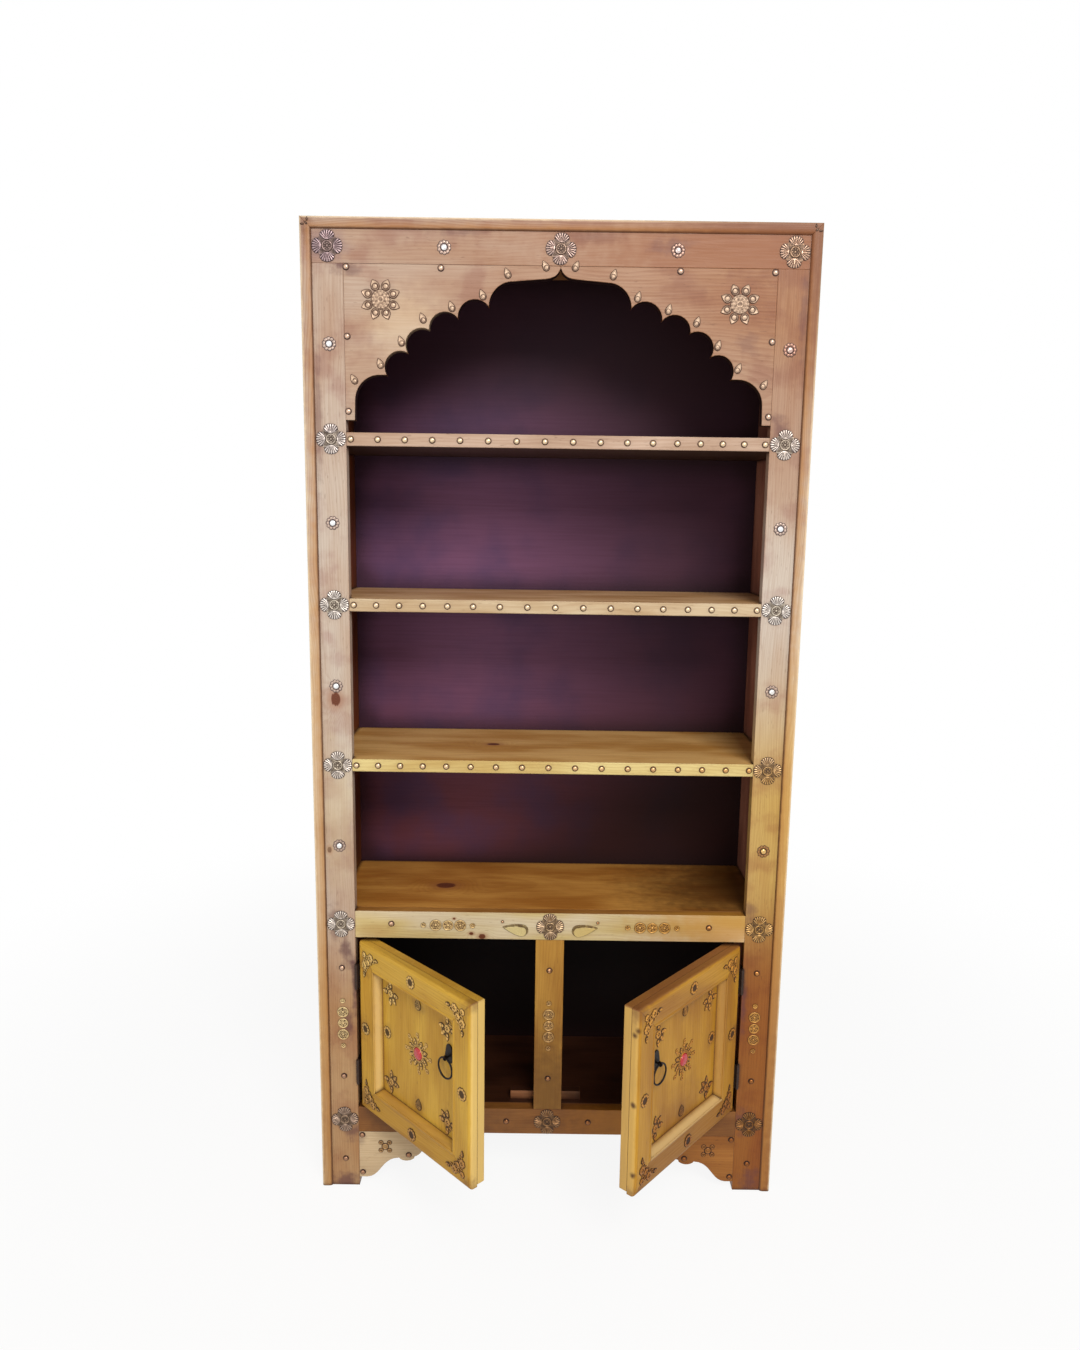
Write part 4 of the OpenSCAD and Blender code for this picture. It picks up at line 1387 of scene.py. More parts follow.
@dataclass
class Case:
    """The boards and the face frame: CAD solids with softened edges, each in a cut of pine."""

    edge: float = 0.9
    fine_edge: float = 0.25
    trim_edge: float = 3.4
    glue_gap: float = 1.2
    flat_within: float = 0.5
    rounded_past: float = 35.0
    plum: PlumStain = field(default_factory=PlumStain)
    golden: frozenset[str] = frozenset({
        "middle_shelf", "lower_shelf", "deck_board", "floor_board", "mid_rail", "bottom_rail",
        "mullion", "left_bracket", "right_bracket", "door_stop"})

    def dress(self, node: str, material: Material, width: float = 0.0) -> None:
        """Gives a CAD node its material, and rounds its edges as handling does.

        Args:
            node: the CAD node's name.
            material: the finish.
            width: the edges' rounding, or 0 for the case's usual one.
        """
        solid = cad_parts[node]
        solid.data.materials.clear()
        solid.data.materials.append(material)
        solid.modifiers.new("join", "WELD").merge_threshold = 1e-6
        flat = solid.modifiers.new("flat", "DECIMATE")
        flat.decimate_type = "DISSOLVE"
        flat.angle_limit = math.radians(self.flat_within)
        worn = solid.modifiers.new("worn", "BEVEL")
        worn.width = (width or self.edge) * MM
        worn.segments = 4 if width == self.trim_edge else 2
        worn.limit_method = "ANGLE"
        worn.angle_limit = math.radians(self.rounded_past)
        LOG.info("%s is dressed in %s", node, material.name)

    def frame_boards(self) -> list[WaxedPine]:
        """Lists the face frame's boards, each with its cut of pine.

        Returns:
            The boards' finishes.
        """
        up, level = Grain.UPRIGHT, Grain.LEVEL
        shaded = Lining(1, -FRONT - 0.8, Tone("#22110d", "#1a0c0a"))
        stop = -span("door_stop", 1)[0] - 0.9
        return [
            WaxedPine("left_stile", up, (-173, -225), stains=(
                blot(-404, 780, 60, 190, 0.3, "#d6c69c", 0.8), blot(-382, 1764, 26, 22, 0.75),
                blot(-392, 500, 18, 46, 0.7), blot(-378, 430, 9, 90, 0.7),
                blot(-392, 350, 16, 44, 0.65), blot(-416, 560, 16, 60, 0.5),
                blot(-388, 120, 30, 26, 0.65), blot(-400, 10, 44, 24, 0.7),
                blot(-424, 1500, 10, 160, 0.4), blot(-404, 1780, 30, 34, 0.45, "#7c5c60")),
                knots=(Knot(998, -404, 9), Knot(706, -422, 4))),
            WaxedPine("right_stile", up, (593, -190), ring=4.4, stains=(
                blot(392, 1500, 24, 30, 0.55), blot(384, 590, 20, 30, 0.5), blot(380, 400, 9, 80),
                blot(390, 150, 34, 40), blot(410, 20, 30, 40), blot(424, 1690, 10, 100, 0.4))),
            WaxedPine("top_rail", level, (1980, -214), ring=4.6, stains=(
                blot(60, 1812, 80, 18, 0.55), blot(-404, 1792, 56, 44, 0.6, "#80646a", 0.8),
                Stain((330, FRONT, 1790), (540, 60, 140), 0.78, "#8a5636", 0.6),
                blot(190, 1800, 50, 22, 0.4), blot(-170, 1816, 60, 10, 0.4))),
            WaxedPine("left_spandrel", level, (1420, -170), ring=6.2, figure=0.08, lining=shaded,
                      stains=(blot(-270, 1660, 110, 90, 0.34, "#dcc6a4", 0.8),
                              blot(-362, 1755, 24, 16, 0.5))),
            WaxedPine("right_spandrel", level, (1560, -176), ring=5.2, figure=0.2, lining=shaded,
                      stains=(blot(330, 1640, 30, 30, 0.3),)),
            WaxedPine("mid_rail", level, (690, -240), Tone("#d6c9aa", "#cab578"), 4.2,
                      lining=Lining(1, -FRONT - 0.9, Tone("#b07c3c", "#8e5c26")),
                      knots=(Knot(-131, 535, 5), Knot(-152, 541, 3), Knot(-185, 571, 2)),
                      stains=(blot(330, 557, 250, 80, 0.75, "#bc8630", 0.5),
                              blot(-340, 545, 60, 24, 0.3, "#9a7040", 0.8))),
            # The rail's dark tone and darker left part are partly painted shade of the doors
            WaxedPine("bottom_rail", level, (270, -230), Tone("#90602c", "#74481e"), stains=(
                blot(-230, 145, 220, 80, 0.75, "#4c2a18", 0.5),
                blot(170, 150, 190, 80, 0.5, "#b87820", 0.6))),
            # Painted shade: the post's foot is darkened for the doors' shadow
            WaxedPine("mullion", up, (150, -226), Tone("#c0923e", "#a4742a"),
                      stains=(blot(0, 200, 90, 230, 0.8, "#5e380c", 0.5),)),
            WaxedPine("door_stop", level, (290, -240), Tone("#9a6a48", "#7a4c30"),
                      lining=Lining(1, stop, Tone("#3a2014", "#2a140c")),
                      stains=(Stain((84, 0, 0), (88, LONG, LONG), 0.95, "#2e170c", 0.4),)),
            WaxedPine("left_bracket", level, (190, -240), Tone("#cdb794", "#bda684"),
                      stains=(blot(-372, 110, 16, 30, 0.35),)),
            WaxedPine("right_bracket", level, (220, -220), Tone("#a46c2e", "#8c561e")),
        ]

    def trims(self) -> list[WaxedPine]:
        """Lists the edge trims: a painted highlight along the outer edge, a glaze, and painted
        shade with a painted shadow line along the inner one.

        Returns:
            The trims' finishes.
        """
        (x, side), (z, top) = span("right_trim", 0), span("top_trim", 2)
        front = span("top_trim", 1)[0]
        finishes = []
        for node, grain, pith, sign in (("left_trim", Grain.UPRIGHT, (-590, -240), -1),
                                        ("right_trim", Grain.UPRIGHT, (590, -240), 1),
                                        ("top_trim", Grain.LEVEL, (1980, -240), 0)):
            marks = [Stain((0, front, 700), (LONG, LONG, 1100), 0.4, "#dcb06c", 0.6),
                     Stain((-side, front, top), (44, 60, 60), 0.6, "#704830")]
            # A brown band of painted shade on the moulding's inner slope, a dark painted shadow
            # line where it stands off the frame, and a painted highlight along its outer edge
            for outer, reach, depth, tint in (
                    (False, 15.0, 0.5, "#a8702e"), (False, 4.0, 0.8, "#3a1c12"),
                    (True, 5.0, 0.6, "#ffecc8")):
                at = (sign * (side if outer else x), front, top if outer else z)
                along = (reach, LONG, LONG) if sign else (LONG, LONG, reach)
                marks.append(Stain(at, along, depth, tint, 0.5))
            marks.append(Stain((side, front, top), (420, 60, 320), 0.82, "#744428", 0.8))
            finishes.append(WaxedPine(node, grain, pith, ring=4.0, figure=0.3, stains=tuple(marks)))
        return finishes

    def inner_boards(self) -> list[WaxedPine]:
        """Lists the level and side boards, each with its cut of pine.

        Returns:
            The boards' finishes.
        """
        flat, side = Grain.SHELF, Grain.SIDE
        wall = span("right_side_board", 0)[0] + self.glue_gap
        edge = -span("lower_shelf", 1)[0] - self.glue_gap
        finishes = [
            # The inner faces are darker, the right one paler: partly their stain, partly painted
            # light and shade
            WaxedPine("left_side_board", side, (-150, -600),
                      lining=Lining(0, wall, Tone("#7e4318", "#5c2e10"))),
            WaxedPine("right_side_board", side, (-120, 610),
                      lining=Lining(0, wall, Tone("#b07a66", "#845244"))),
            WaxedPine("top_board", flat, (-150, 1660), Tone("#a47a50", "#86603c")),
            # Painted shadow darkens the deck's right part
            WaxedPine("deck_board", flat, (-140, 460), Tone("#d09648", "#ac702c"),
                      knots=(Knot(-214, -150, 14),),
                      stains=(Stain((350, -150, 584), (270, 300, 60), 0.8, "#3c1e08", 0.5),)),
            # Near black: partly painted shade inside the cupboard
            WaxedPine("floor_board", flat, (-130, 40), Tone("#3c2012", "#281208")),
        ]
        for node, pith, tone, edge_tone, knots in (
                ("upper_shelf", (-160, 1340), Tone("#c2a996", "#ae927c"),
                 Tone("#d0ac88", "#b48c68"), ()),
                ("middle_shelf", (-120, 1040), Tone("#cdbb9c", "#b89d78"),
                 Tone("#d6b082", "#b88c58"), ()),
                ("lower_shelf", (-170, 750), Tone("#dccb8c", "#c4a866"),
                 Tone("#dfb370", "#c08c46"), (Knot(-118, -150, 9),))):
            # Painted shade along each shelf's underside and bottom edge
            below = Stain((0, 0, span(node, 2)[0]), (LONG, LONG, 1.8), 0.9, "#1c0d0a", 0.2)
            finishes.append(WaxedPine(node, flat, pith, tone, knots=knots, stains=(below,),
                                      lining=Lining(1, edge, edge_tone)))
        return finishes

    def build(self) -> None:
        """Dresses every board of the case, and the iron on it."""
        for pine in self.frame_boards() + self.inner_boards():
            slot = "golden_pine" if pine.node in self.golden else "honey_pine"
            self.dress(pine.node, pine.make())
        for pine in self.trims():
            self.dress(pine.node, pine.make(), self.trim_edge)
        self.dress("back_panel", self.plum.make())
        for node in ("frame_hinge_leaves", "hinge_pins", "frame_hinge_screws"):
            self.dress(node, HINGE, self.fine_edge)


@dataclass
class FrameBrass:
    """The brass on the face frame, shelf edges and brackets.

    Places are across from the middle, and mirrored. Those along the arch are up from the
    spandrel's foot.
    """

    opening: float = span("right_stile", 0)[0]
    stile: float = (span("right_stile", 0)[0] + span("right_trim", 0)[0]) / 2
    foot: float = span("right_spandrel", 2)[0]
    top: float = (span("right_spandrel", 2)[1] + span("top_trim", 2)[0]) / 2
    waist: float = sum(span("mid_rail", 2)) / 2
    base: float = sum(span("bottom_rail", 2)) / 2
    shelves: tuple[float, ...] = tuple(
        sum(span(f"{which}_shelf", 2)) / 2 for which in ("lower", "middle", "upper"))
    shell_lift: float = 0.3
    boss_lift: float = 0.4
    boss: tuple[Pair, ...] = ((5.4, 0), (5.3, 1.2), (4.9, 1.9), (3.9, 2.7), (2.5, 3.2), (1.2, 3.45),
                              (0, 3.5))
    big_flower: Pair = (312, 204)
    cusps: tuple[Pair, ...] = ((124, 195), (178, 175), (228, 155), (266, 116), (303, 78))
    cusp_off: Pair = (9.92, 16)
    cusp_turn: float = 68
    shoulders: tuple[Triple, ...] = ((25, 260, 65), (91, 247, 72), (359, 67, 60))
    corner_leaves: tuple[Triple, ...] = ((7, 7, 45), (13, 6, 0), (6, 13, 90))
    studs: tuple[Pair, ...] = (
        (371, 1758), (371, 1643), (371, 1516), (207, 1758), (306, 559), (81.5, 145), (403, 467),
        (403, 239), (403, 59), (369.1, 111), (369.1, 29), (276.6, 68))
    small_stud: Pair = (91.8, 566)
    small_nail: Pair = (3.0, 2.8)
    corner_leaf: Teardrop = Teardrop(5.4, 0.3, 0.2, radius=1.8)
    post_studs: tuple[float, ...] = (467, 239)
    nail_r: float = 6.0
    nail_h: float = 4.0
    shelf_nails: int = 17
    wander: tuple[Pair, ...] = ((-8, -10), (0, -13), (27, -9))
    coins: tuple[Medallion, ...] = (
        Medallion(4.9, inner=4, bright=1.0), Medallion(11.4, inner=6, bright=1.0),
        Medallion(10.4, inner=5, bright=1.3))
    links: float = 23.66
    rail_chain: float = 197.0
    paisley: Triple = (54, -8, 10)
    knot: Pair = (323.6, 86)
    knot_reach: float = 12.0
    rng: random.Random = field(default_factory=lambda: random.Random(11))

    def on_face(self, x: float, z: float, turn: float = 0.0, lift: float = 0.0) -> Place:
        """Places a plate on the face frame's front.

        Args:
            x: across.
            z: up.
            turn: degrees, anticlockwise as seen from the front.
            lift: how far its back stands off the wood.

        Returns:
            The place.
        """
        c, s = spot(turn, 1)

        def place(p: Grid) -> Grid:
            """Moves points onto the face."""
            return np.column_stack([x + p[:, 0] * c - p[:, 1] * s, FRONT - lift - p[:, 2],
                                    z + p[:, 0] * s + p[:, 1] * c])
        return place

    def put_up(self, name: str, material: Material, replaces: str, plates: Iterable[tuple]) -> None:
        """Makes one brass piece on the case.

        Args:
            name: the piece's name.
            material: its finish.
            replaces: the CAD node that it stands for, or nothing.
            plates: each plate, then its place: across, up, and its turn and lift where it has them.
        """
        stands_for = (replaces,) if replaces else ()
        piece = Piece(name, "carcass", "pressed_brass", material, stands_for)
        for plate, *at in plates:
            piece.put(plate, self.on_face(*at))
        piece.finish()

    def build_rosettes(self) -> None:
        """Puts up the rosettes, each a little turned."""
        rails, lean = (self.top, self.waist, self.base), self.rng.uniform
        spots = [(side * self.stile, z) for side in (-1, 1) for z in rails + self.shelves]
        turned = [(x, z, lean(-5, 5)) for x, z in spots + [(0, z) for z in rails]]
        shells, back = Shells().strike(), ShellBack().strike()
        self.put_up("rosette_shells", TIN, "frame_rosettes",
                    ((shells, *at, self.shell_lift) for at in turned))
        self.put_up("rosette_bosses", BRASS, "", ((back, *at) for at in turned))

    def build_flowers(self) -> None:
        """Puts up the small flowers, the bosses in them and the two big flowers."""
        stops = [self.waist, *self.shelves, self.top]
        spots = [(self.stile, (low + high) / 2) for low, high in zip(stops, stops[1:])]
        spots = [(side * x, z) for side in (-1, 1) for x, z in [*spots, (self.stile / 2, self.top)]]
        lace, boss, big = FlowerLace().strike(), lathe([*self.boss], 20), BigFlower().strike()
        self.put_up("small_flowers", LACE, "frame_flowers",
                    ((lace, *at, self.rng.uniform(0, 36)) for at in spots))
        self.put_up("flower_bosses", MIRROR, "", ((boss, *at, 0, self.boss_lift) for at in spots))
        x, up = self.big_flower
        self.put_up("big_flowers", WARM, "spandrel_flowers",
                    ((big, side * x, self.foot + up) for side in (-1, 1)))

    def build_drops(self) -> None:
        """Puts up the drops along the arch and the leaves on the trim's corners."""
        tear, small = Teardrop().strike(), self.corner_leaf.strike()
        arch = [(x + self.cusp_off[0], z + self.cusp_off[1], self.cusp_turn) for x, z in self.cusps]
        drops = [(tear, x, self.foot + z, turn, 5, 0) for x, z, turn in (*self.shoulders, *arch)]
        corner_x, corner_z = span("right_trim", 0)[0], span("top_trim", 2)[0]
        lift = FRONT - span("top_trim", 1)[0]
        drops += [(small, corner_x + x, corner_z + z, turn, 0, lift)
                  for x, z, turn in self.corner_leaves]
        plates = []
        for side in (-1, 1):
            for plate, x, z, turn, sway, off in drops:
                lean = turn + (self.rng.uniform(-sway, sway) if sway else 0)
                plates.append((plate, side * x, z, lean if side > 0 else 180 - lean, off))
        self.put_up("arch_drops", WARM, "arch_teardrops", plates)

    def build_studs(self) -> None:
        """Drives the domed nails of the shelf edges and the frame."""
        head, small = nail(self.nail_r, self.nail_h, 18), nail(*self.small_nail, 12)
        spin = self.rng.uniform
        run, rows = self.opening - self.nail_r - 2, []
        for z, (slow, fast) in zip(self.shelves, self.wander):
            for along in np.linspace(0, 1, self.shelf_nails):
                shift = slow * math.sin(math.pi * along) + fast * math.sin(2 * math.pi * along)
                rows.append((head, run * (2 * along - 1) + shift, z, spin(0, 20)))
        self.put_up("shelf_nails", NAIL, "shelf_studs", rows)
        nails = [(head, side * x, z, spin(0, 20)) for side in (-1, 1) for x, z in self.studs]
        nails += [(small, side * self.small_stud[0], self.small_stud[1]) for side in (-1, 1)]
        nails += [(head, 0, z) for z in self.post_studs]
        self.put_up("frame_nails", CHROME, "frame_studs", nails)

    def build_chains(self) -> None:
        """Puts up the chains of medallions, the two paisley leaves and the bracket knots."""
        bead, coin, bright = (medallion.strike() for medallion in self.coins)
        low, chain = (self.waist + self.base) / 2, []
        for x, z, turn in ((-self.stile, low, 90), (self.stile, low, 90), (0, low, 90),
                           (-self.rail_chain, self.waist, 0), (self.rail_chain, self.waist, 0)):
            for k, plate in enumerate((bead, coin, bright, coin, bead), -2):
                dx, dz = spot(turn, k * self.links)
                chain.append((plate, x + dx, z + dz, self.rng.uniform(0, 60)))
        self.put_up("coin_chains", PALE, "medallion_chains", chain)
        plaque, (x, up, turn) = Paisley().strike(), self.paisley
        self.put_up("paisley_leaves", CREAM, "paisley_plaques",
                    [(plaque, x, self.waist + up, turn),
                     (plaque.mirrored(), -x, self.waist + up, -turn)])
        hub, ring, (x, z) = Eyelet(7.4, bead=0.3).strike(), Eyelet().strike(), self.knot
        petals = [spot(a, self.knot_reach) for a in around(4, 45)]
        self.put_up("bracket_knots", PALE, "bracket_clusters",
                    ((plate, side * x + dx, z + dz) for side in (-1, 1)
                     for plate, dx, dz in [(hub, 0, 0), *((ring, *petal) for petal in petals)]))

    def build(self) -> None:
        """Puts up all the brass of the case."""
        for step in (self.build_rosettes, self.build_flowers, self.build_drops, self.build_studs,
                     self.build_chains):
            step()


class Side(Enum):
    """The two doors, by name, mirror sign and the angle that each stands open."""

    LEFT = ("left", 1, 46.0)
    RIGHT = ("right", -1, 49.0)


@dataclass
class Door:
    """A mitred door with its brass, its stone and its ring pull, hung on its pins.

    The tones, and the pairs from `dirt` on, are the left door's and then the right door's.
    """

    side: Side
    wide: float = 338.0
    high: float = 348.0
    low: float = 176.0
    pin: Pair = (-374.4, -289.4)
    corner: Pair = (1.6, 3.4)
    panel: float = 17.0
    member: float = 57.0
    pull: Pair = (261.0, 215.0)
    standoff: float = 10.0
    ring: float = 19.0
    wire: float = 1.8
    edge: float = 1.3
    stud_inset: float = 21.0
    flower_inset: float = 22.0
    star_rise: float = 5.0
    crown: tuple[Pair, ...] = ((11.9, 0), (11.8, 1.6), (11.2, 2.7), (9.6, 3.8), (7.0, 4.5),
                               (3.6, 4.9), (1.5, 4.98), (0, 5))
    tones: tuple[Tone, Tone] = (Tone("#d4aa3c", "#be9028"), Tone("#c29028", "#a47018"))
    foot_deep: str = "#9a6818"
    dirt: Pair = (0.2, 0.8)
    worn_edge_and_highlight: Pair = (0.6, 0.35)
    lit_slope: Pair = (0.1, 0.6)
    lit_hinge_slope: Pair = (0.5, 0.15)

    @property
    def name(self) -> str:
        """The side's name."""
        return self.side.value[0]

    @property
    def mirrored(self) -> bool:
        """True on the right, where the drawing is turned inside out."""
        return self.side is Side.RIGHT

    def on_door(self, u: float, z: float, depth: float = 0.0, turn: float = 0.0) -> Place:
        """Places a plate on the door.

        Args:
            u: distance from the hinge edge.
            z: height above the door's bottom.
            depth: how far behind the front face.
            turn: degrees.

        Returns:
            The place.
        """
        _, hand, opened = self.side.value
        (c, s), (cos, sin) = spot(turn, 1), spot(opened, 1)

        def place(p: Grid) -> Grid:
            """Moves points onto the door.

            Args:
                p: the points on the plate.

            Returns:
                The points on the case.
            """
            a = u + p[:, 0] * c - p[:, 1] * s + self.corner[0]
            b = depth - p[:, 2] + self.corner[1]
            return np.column_stack([hand * (self.pin[0] + a * cos + b * sin),
                                    self.pin[1] - a * sin + b * cos,
                                    self.low + z + p[:, 0] * s + p[:, 1] * c])
        return place

    def unturned(self, u: float, z: float, depth: float) -> Triple:
        """Finds a point of the door as its turned material sees it.

        Args:
            u: distance from the hinge edge.
            z: height above the door's bottom.
            depth: how far behind the front face.

        Returns:
            The point, in millimetres.
        """
        _, hand, opened = self.side.value
        c, s = spot(hand * opened, 1)
        x, y, up = self.on_door(u, z, depth)(np.zeros((1, 3)))[0]
        return x * c - y * s, x * s + y * c, up

    def marks(self, part: str) -> tuple[Stain, ...]:
        """Lists the marks on a part of the door.

        Args:
            part: the part's name without its side.

        Returns:
            Its stains, the lowest one first.
        """
        right, at, mid_u, mid_z = self.mirrored, self.unturned, self.wide / 2, self.high / 2
        edge, deep = at(self.wide, 0, 0)[0], self.panel
        # The free edge is pale, partly worn and partly a painted highlight, stronger on the left
        # door
        stains = [Stain((edge, 0, 0), (3.2, LONG, LONG), self.worn_edge_and_highlight[right], "#f2d488", 0.5),
                  Stain((0, 0, self.low + self.high), (LONG, LONG, 3.4), self.dirt[right],
                        "#7a4a2c", 0.6)]
        if part == "door_board":
            stains += [Stain(at(mid_u + u, mid_z + z, deep), (24, 30, 22), 0.38, "#7a5020")
                       for u, z in ((-84, 90), (84, 90), (-84, -90), (84, -90), (0, 100),
                                    (0, -100), (0, 5), (-98, 7))]
            if right:
                stains.append(Stain(at(mid_u, 40, deep), (120, 60, 130), 0.45, "#86520e", 0.8))
        else:
            stains += [Stain(at(u, z, 0), (38, 38, 30), 0.5, "#6a3e22") for u, z in (
                (self.wide, self.high), (self.wide, 0), (8, 24), (14, self.high - 40), (6, mid_z))]
        # The right door's free edge has four small dark knots
        if right:
            stains += [Stain(at(self.wide, z, depth), (9, 8, 8), 0.9, "#46240f", 0.9)
                       for z, depth in ((310, 3), (300, 10), (172, 9), (40, 6))]
        # Painted light: the moulding's bottom slope, which faces up, and its hinge-side slope are
        # painted pale
        pale = "#ecd094"
        if part == "door_bottom_member":
            z = self.low + self.member - 6
            stains.append(Stain((0, 0, z), (LONG, LONG, 7.5), self.lit_slope[right], pale, 0.3))
        if part == "door_hinge_stile":
            x = at(self.member - 5, 0, 0)[0]
            stains.append(Stain((x, 0, 0), (6, LONG, LONG), self.lit_hinge_slope[right], pale, 0.3))
        return tuple(stains)

    def build_wood(self, case: Case) -> None:
        """Dresses the board and the mitred members.

        Args:
            case: rounds the edges.
        """
        _, hand, opened = self.side.value
        hinge, seam, _ = self.unturned(0, 0, self.panel)
        tone, up, level = self.tones[self.mirrored], Grain.UPRIGHT, Grain.LEVEL
        for part, grain, pith in (
                ("door_board", up, (hinge + hand * 420, seam + 90)),
                ("door_hinge_stile", up, (hinge - hand * 120, seam + 60)),
                ("door_lock_stile", up, (hinge + hand * 500, seam + 70)),
                ("door_top_member", level, (self.low + self.high + 160, seam + 60)),
                ("door_bottom_member", level, (self.low - 150, seam + 50))):
            foot, board = part == "door_bottom_member", part == "door_board"
            pine = WaxedPine(f"{self.name}_{part}", grain, pith,
                             Tone(tone.deep, self.foot_deep) if foot else tone, 4.6,
                             turn=hand * opened, stains=self.marks(part),
                             seam=None if board else seam)
            case.dress(pine.node, pine.make(), self.edge)

    def hang(self, name: str, body: str, slot: str, material: Material, replaces: str,
             plates: Iterable[tuple]) -> None:
        """Makes one piece on the door.

        Args:
            name: the piece's name, without its side.
            body: the body that it rides on, without its side.
            slot: the name of its material slot, which the piece only keeps.
            material: its finish.
            replaces: the CAD node that it stands for, without its side.
            plates: each plate, then its place: along, up, and its depth and turn where it has them.
        """
        piece = Piece(f"{self.name}_{name}", f"{self.name}_{body}", slot, material,
                      (f"{self.name}_{replaces}",), self.mirrored)
        for plate, *at in plates:
            piece.put(plate, self.on_door(*at))
        piece.finish()

    def build_brass(self) -> None:
        """Puts up the corner sprays, flowers, drops and the star, and sets the stone."""
        mid_u, mid_z, inset, panel = self.wide / 2, self.high / 2, self.member + 26, self.panel
        fan, spray, flower, tear, star = (kind().strike() for kind in (
            CornerFan, PanelSpray, FlowerLace, VeinedDrop, Star))
        plates = [(plate, mid_u + su * (mid_u - off), mid_z + sz * (mid_z - off), depth, turn)
                  for su, sz, turn in ((1, 1, 0), (1, -1, -90), (-1, 1, 90), (-1, -1, 180))
                  for plate, off, depth in ((fan, self.stud_inset, 0), (spray, inset, panel))]
        off = self.flower_inset
        plates += [(flower, u, z, depth, 9) for u, z, depth in (
            (mid_u, self.high - off - 0.5, 0), (mid_u, off + 0.5, 0), (off, mid_z, 0),
            (self.wide - off, mid_z, 0), (self.member + 14, mid_z + 7, panel))]
        up = self.member + 17
        plates += [(tear, mid_u, z, panel, 90) for z in (self.high - up, up)]
        middle = (mid_u, mid_z + self.star_rise, panel)
        self.hang("door_lace", "door", "pressed_brass", TARNISH, "door_ornaments",
                  [*plates, (star, *middle)])
        self.hang("red_stone", "door", "red_stone", STONE, "door_stone",
                  [(lathe([*self.crown], 36), *middle)])

    def forged_ring(self) -> Plate:
        """Bends the ring's wire: hammered, so that its thickness varies by a twentieth.

        Returns:
            The ring, flat.
        """
        turns, sides = 80, 12
        points, faces = [], []
        for i in range(turns):
            t = 2 * math.pi * i / turns
            r = self.wire * (0.95 + 0.035 * math.sin(3 * t + 1) + 0.015 * math.sin(11 * t))
            for k in range(sides):
                a = 2 * math.pi * k / sides
                reach = self.ring + r * math.cos(a)
                points.append((reach * math.cos(t), reach * math.sin(t), r * math.sin(a)))
                near, far, up = i * sides, (i + 1) % turns * sides, (k + 1) % sides
                faces.append((near + k, far + k, far + up, near + up))
        return Plate(np.array(points), faces, np.full(len(points), 0.5))

    def build_pull(self, case: Case) -> None:
        """Dresses the hinge parts and the plate, and hangs the ring.

        Args:
            case: rounds the edges.
        """
        for node, iron in (("door_leaves", HINGE), ("door_screws", HINGE), ("pull_plate", IRON)):
            case.dress(f"{self.name}_{node}", iron, case.fine_edge)
        u, z = self.pull
        self.hang("forged_ring", "ring", "blackened_iron", IRON, "pull_ring",
                  [(self.forged_ring(), u, z - self.ring, self.panel - self.standoff)])

    def build(self, case: Case) -> None:
        """Builds the whole door.

        Args:
            case: rounds the edges.
        """
        self.build_wood(case)
        self.build_brass()
        self.build_pull(case)


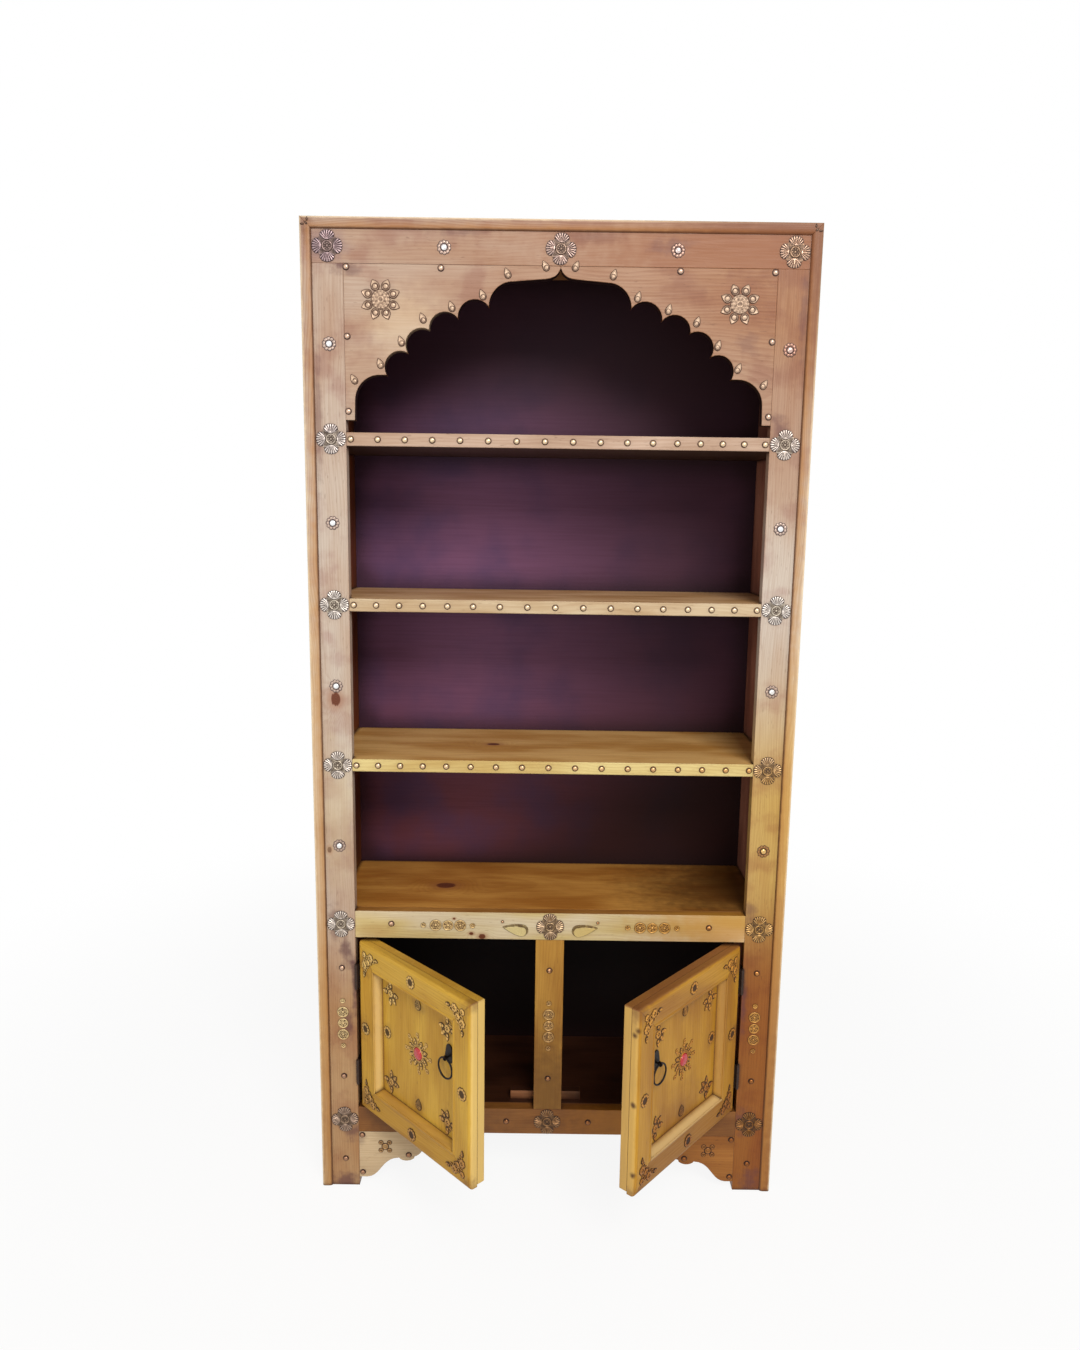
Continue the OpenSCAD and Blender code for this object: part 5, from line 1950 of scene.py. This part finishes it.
@dataclass
class Studio:
    """A pale floor, a white surround, two soft lamps and the camera at the photograph's angle.

    Lengths here are in metres, angles in degrees and powers in watts, but the lens and the film's
    width are in millimetres.
    """

    eye: Triple = (-0.02683, -2.04267, 1.33610)
    aim: Triple = (80.70312, -0.77993, 0.10784)
    lens: float = 25.72
    film: float = 36.0
    seen_from: float = 0.05
    seen_to: float = 60.0
    lit: Triple = (0, -0.3, 0.95)
    ambient: float = 0.32
    key: float = 125.0
    fill: float = 19.0
    floor_half: float = 14.0
    floor_drop: float = 0.0005
    floor_tint: str = "#f4f2ef"
    glow_near: float = 0.9
    glow_run: Pair = (0.7, 2.2)

    def camera(self) -> None:
        """Puts up the camera."""
        data = bpy.data.cameras.new("camera")
        data.lens, data.sensor_width = self.lens, self.film
        data.clip_start, data.clip_end = self.seen_from, self.seen_to
        camera = bpy.data.objects.new("camera", data)
        camera.location = self.eye
        camera.rotation_euler = [math.radians(a) for a in self.aim]
        bpy.context.scene.collection.objects.link(camera)
        bpy.context.scene.camera = camera

    def lamp(self, name: str, at: Triple, size: float, power: float, tint: str) -> None:
        """Hangs a square lamp that faces the middle of the case.

        Args:
            name: the lamp's name.
            at: where it hangs.
            size: its side.
            power: its strength.
            tint: its colour.
        """
        data = bpy.data.lights.new(name, "AREA")
        data.size, data.energy, data.color = size, power, linear(tint)[:3]
        lamp = bpy.data.objects.new(name, data)
        lamp.location = at
        lamp.rotation_euler = (Vector(self.lit) - Vector(at)).to_track_quat("-Z", "Y").to_euler()
        bpy.context.scene.collection.objects.link(lamp)

    @staticmethod
    def seen(tree: Tree) -> Socket:
        """Tells whether the eye or a reflection looks.

        Args:
            tree: the node tree.

        Returns:
            The answer, as 0 or 1.
        """
        path = add(tree, "LightPath").node.outputs
        direct = add(tree, "Math MAXIMUM", (path["Is Camera Ray"], path["Is Transmission Ray"]))
        return add(tree, "Math MAXIMUM", (direct, path["Is Glossy Ray"]))

    def surround(self) -> None:
        """Sets a white surround where the eye or a reflection looks, and low light elsewhere."""
        world = bpy.data.worlds.new("surround")
        bpy.context.scene.world = world
        world.use_nodes = True
        tree = world.node_tree
        strength = add(tree, "MapRange", (self.seen(tree), 0.0, 1.0, self.ambient, 1.0))
        plug(tree, tree.nodes["Background"], {"Strength": strength, "Color": "#ffffff"})

    def floor(self) -> None:
        """Lays a pale floor that keeps the case's soft shadow and turns white with distance."""
        half = self.floor_half
        mesh = bpy.data.meshes.new("floor")
        corners = [(-half, -half, 0), (half, -half, 0), (half, half, 0), (-half, half, 0)]
        mesh.from_pydata(corners, [], [(0, 1, 2, 3)])
        material, tree, shader = surface("pale_matt_floor")
        plug(tree, shader, {"Base Color": self.floor_tint, "Roughness": 0.9})
        away = add(tree, "VectorMath LENGTH", (add(tree, "TexCoord", out="Object"),), "Value")
        far = add(tree, "MapRange", (away, *self.glow_run, self.glow_near, 1.0), **SMOOTH)
        share = add(tree, "Math MULTIPLY", (self.seen(tree), far))
        glow = add(tree, "Emission", {"Color": "#ffffff", "Strength": 1.0})
        mixed = add(tree, "MixShader", (share, shader.outputs[0], glow))
        plug(tree, tree.nodes["Material Output"], {"Surface": mixed})
        mesh.materials.append(material)
        floor = bpy.data.objects.new("floor", mesh)
        floor.location = (0, 0, -self.floor_drop)
        bpy.context.scene.collection.objects.link(floor)

    def build(self) -> None:
        """Puts up the whole studio."""
        bpy.context.scene.view_settings.view_transform = "Standard"
        self.camera()
        self.surround()
        self.floor()
        self.lamp("key", (0.9, -3.4, 3.4), 1.6, self.key, "#fffaf4")
        self.lamp("fill", (-1.7, -3.0, 1.5), 1.8, self.fill, "#fff6ea")


def main() -> None:
    """Builds the bookshelf's looks in order."""
    logging.basicConfig(level=logging.INFO, format="%(name)s: %(message)s")
    Studio().build()
    case = Case()
    case.build()
    FrameBrass().build()
    for side in Side:
        Door(side).build(case)


if __name__ == "__main__":
    main()
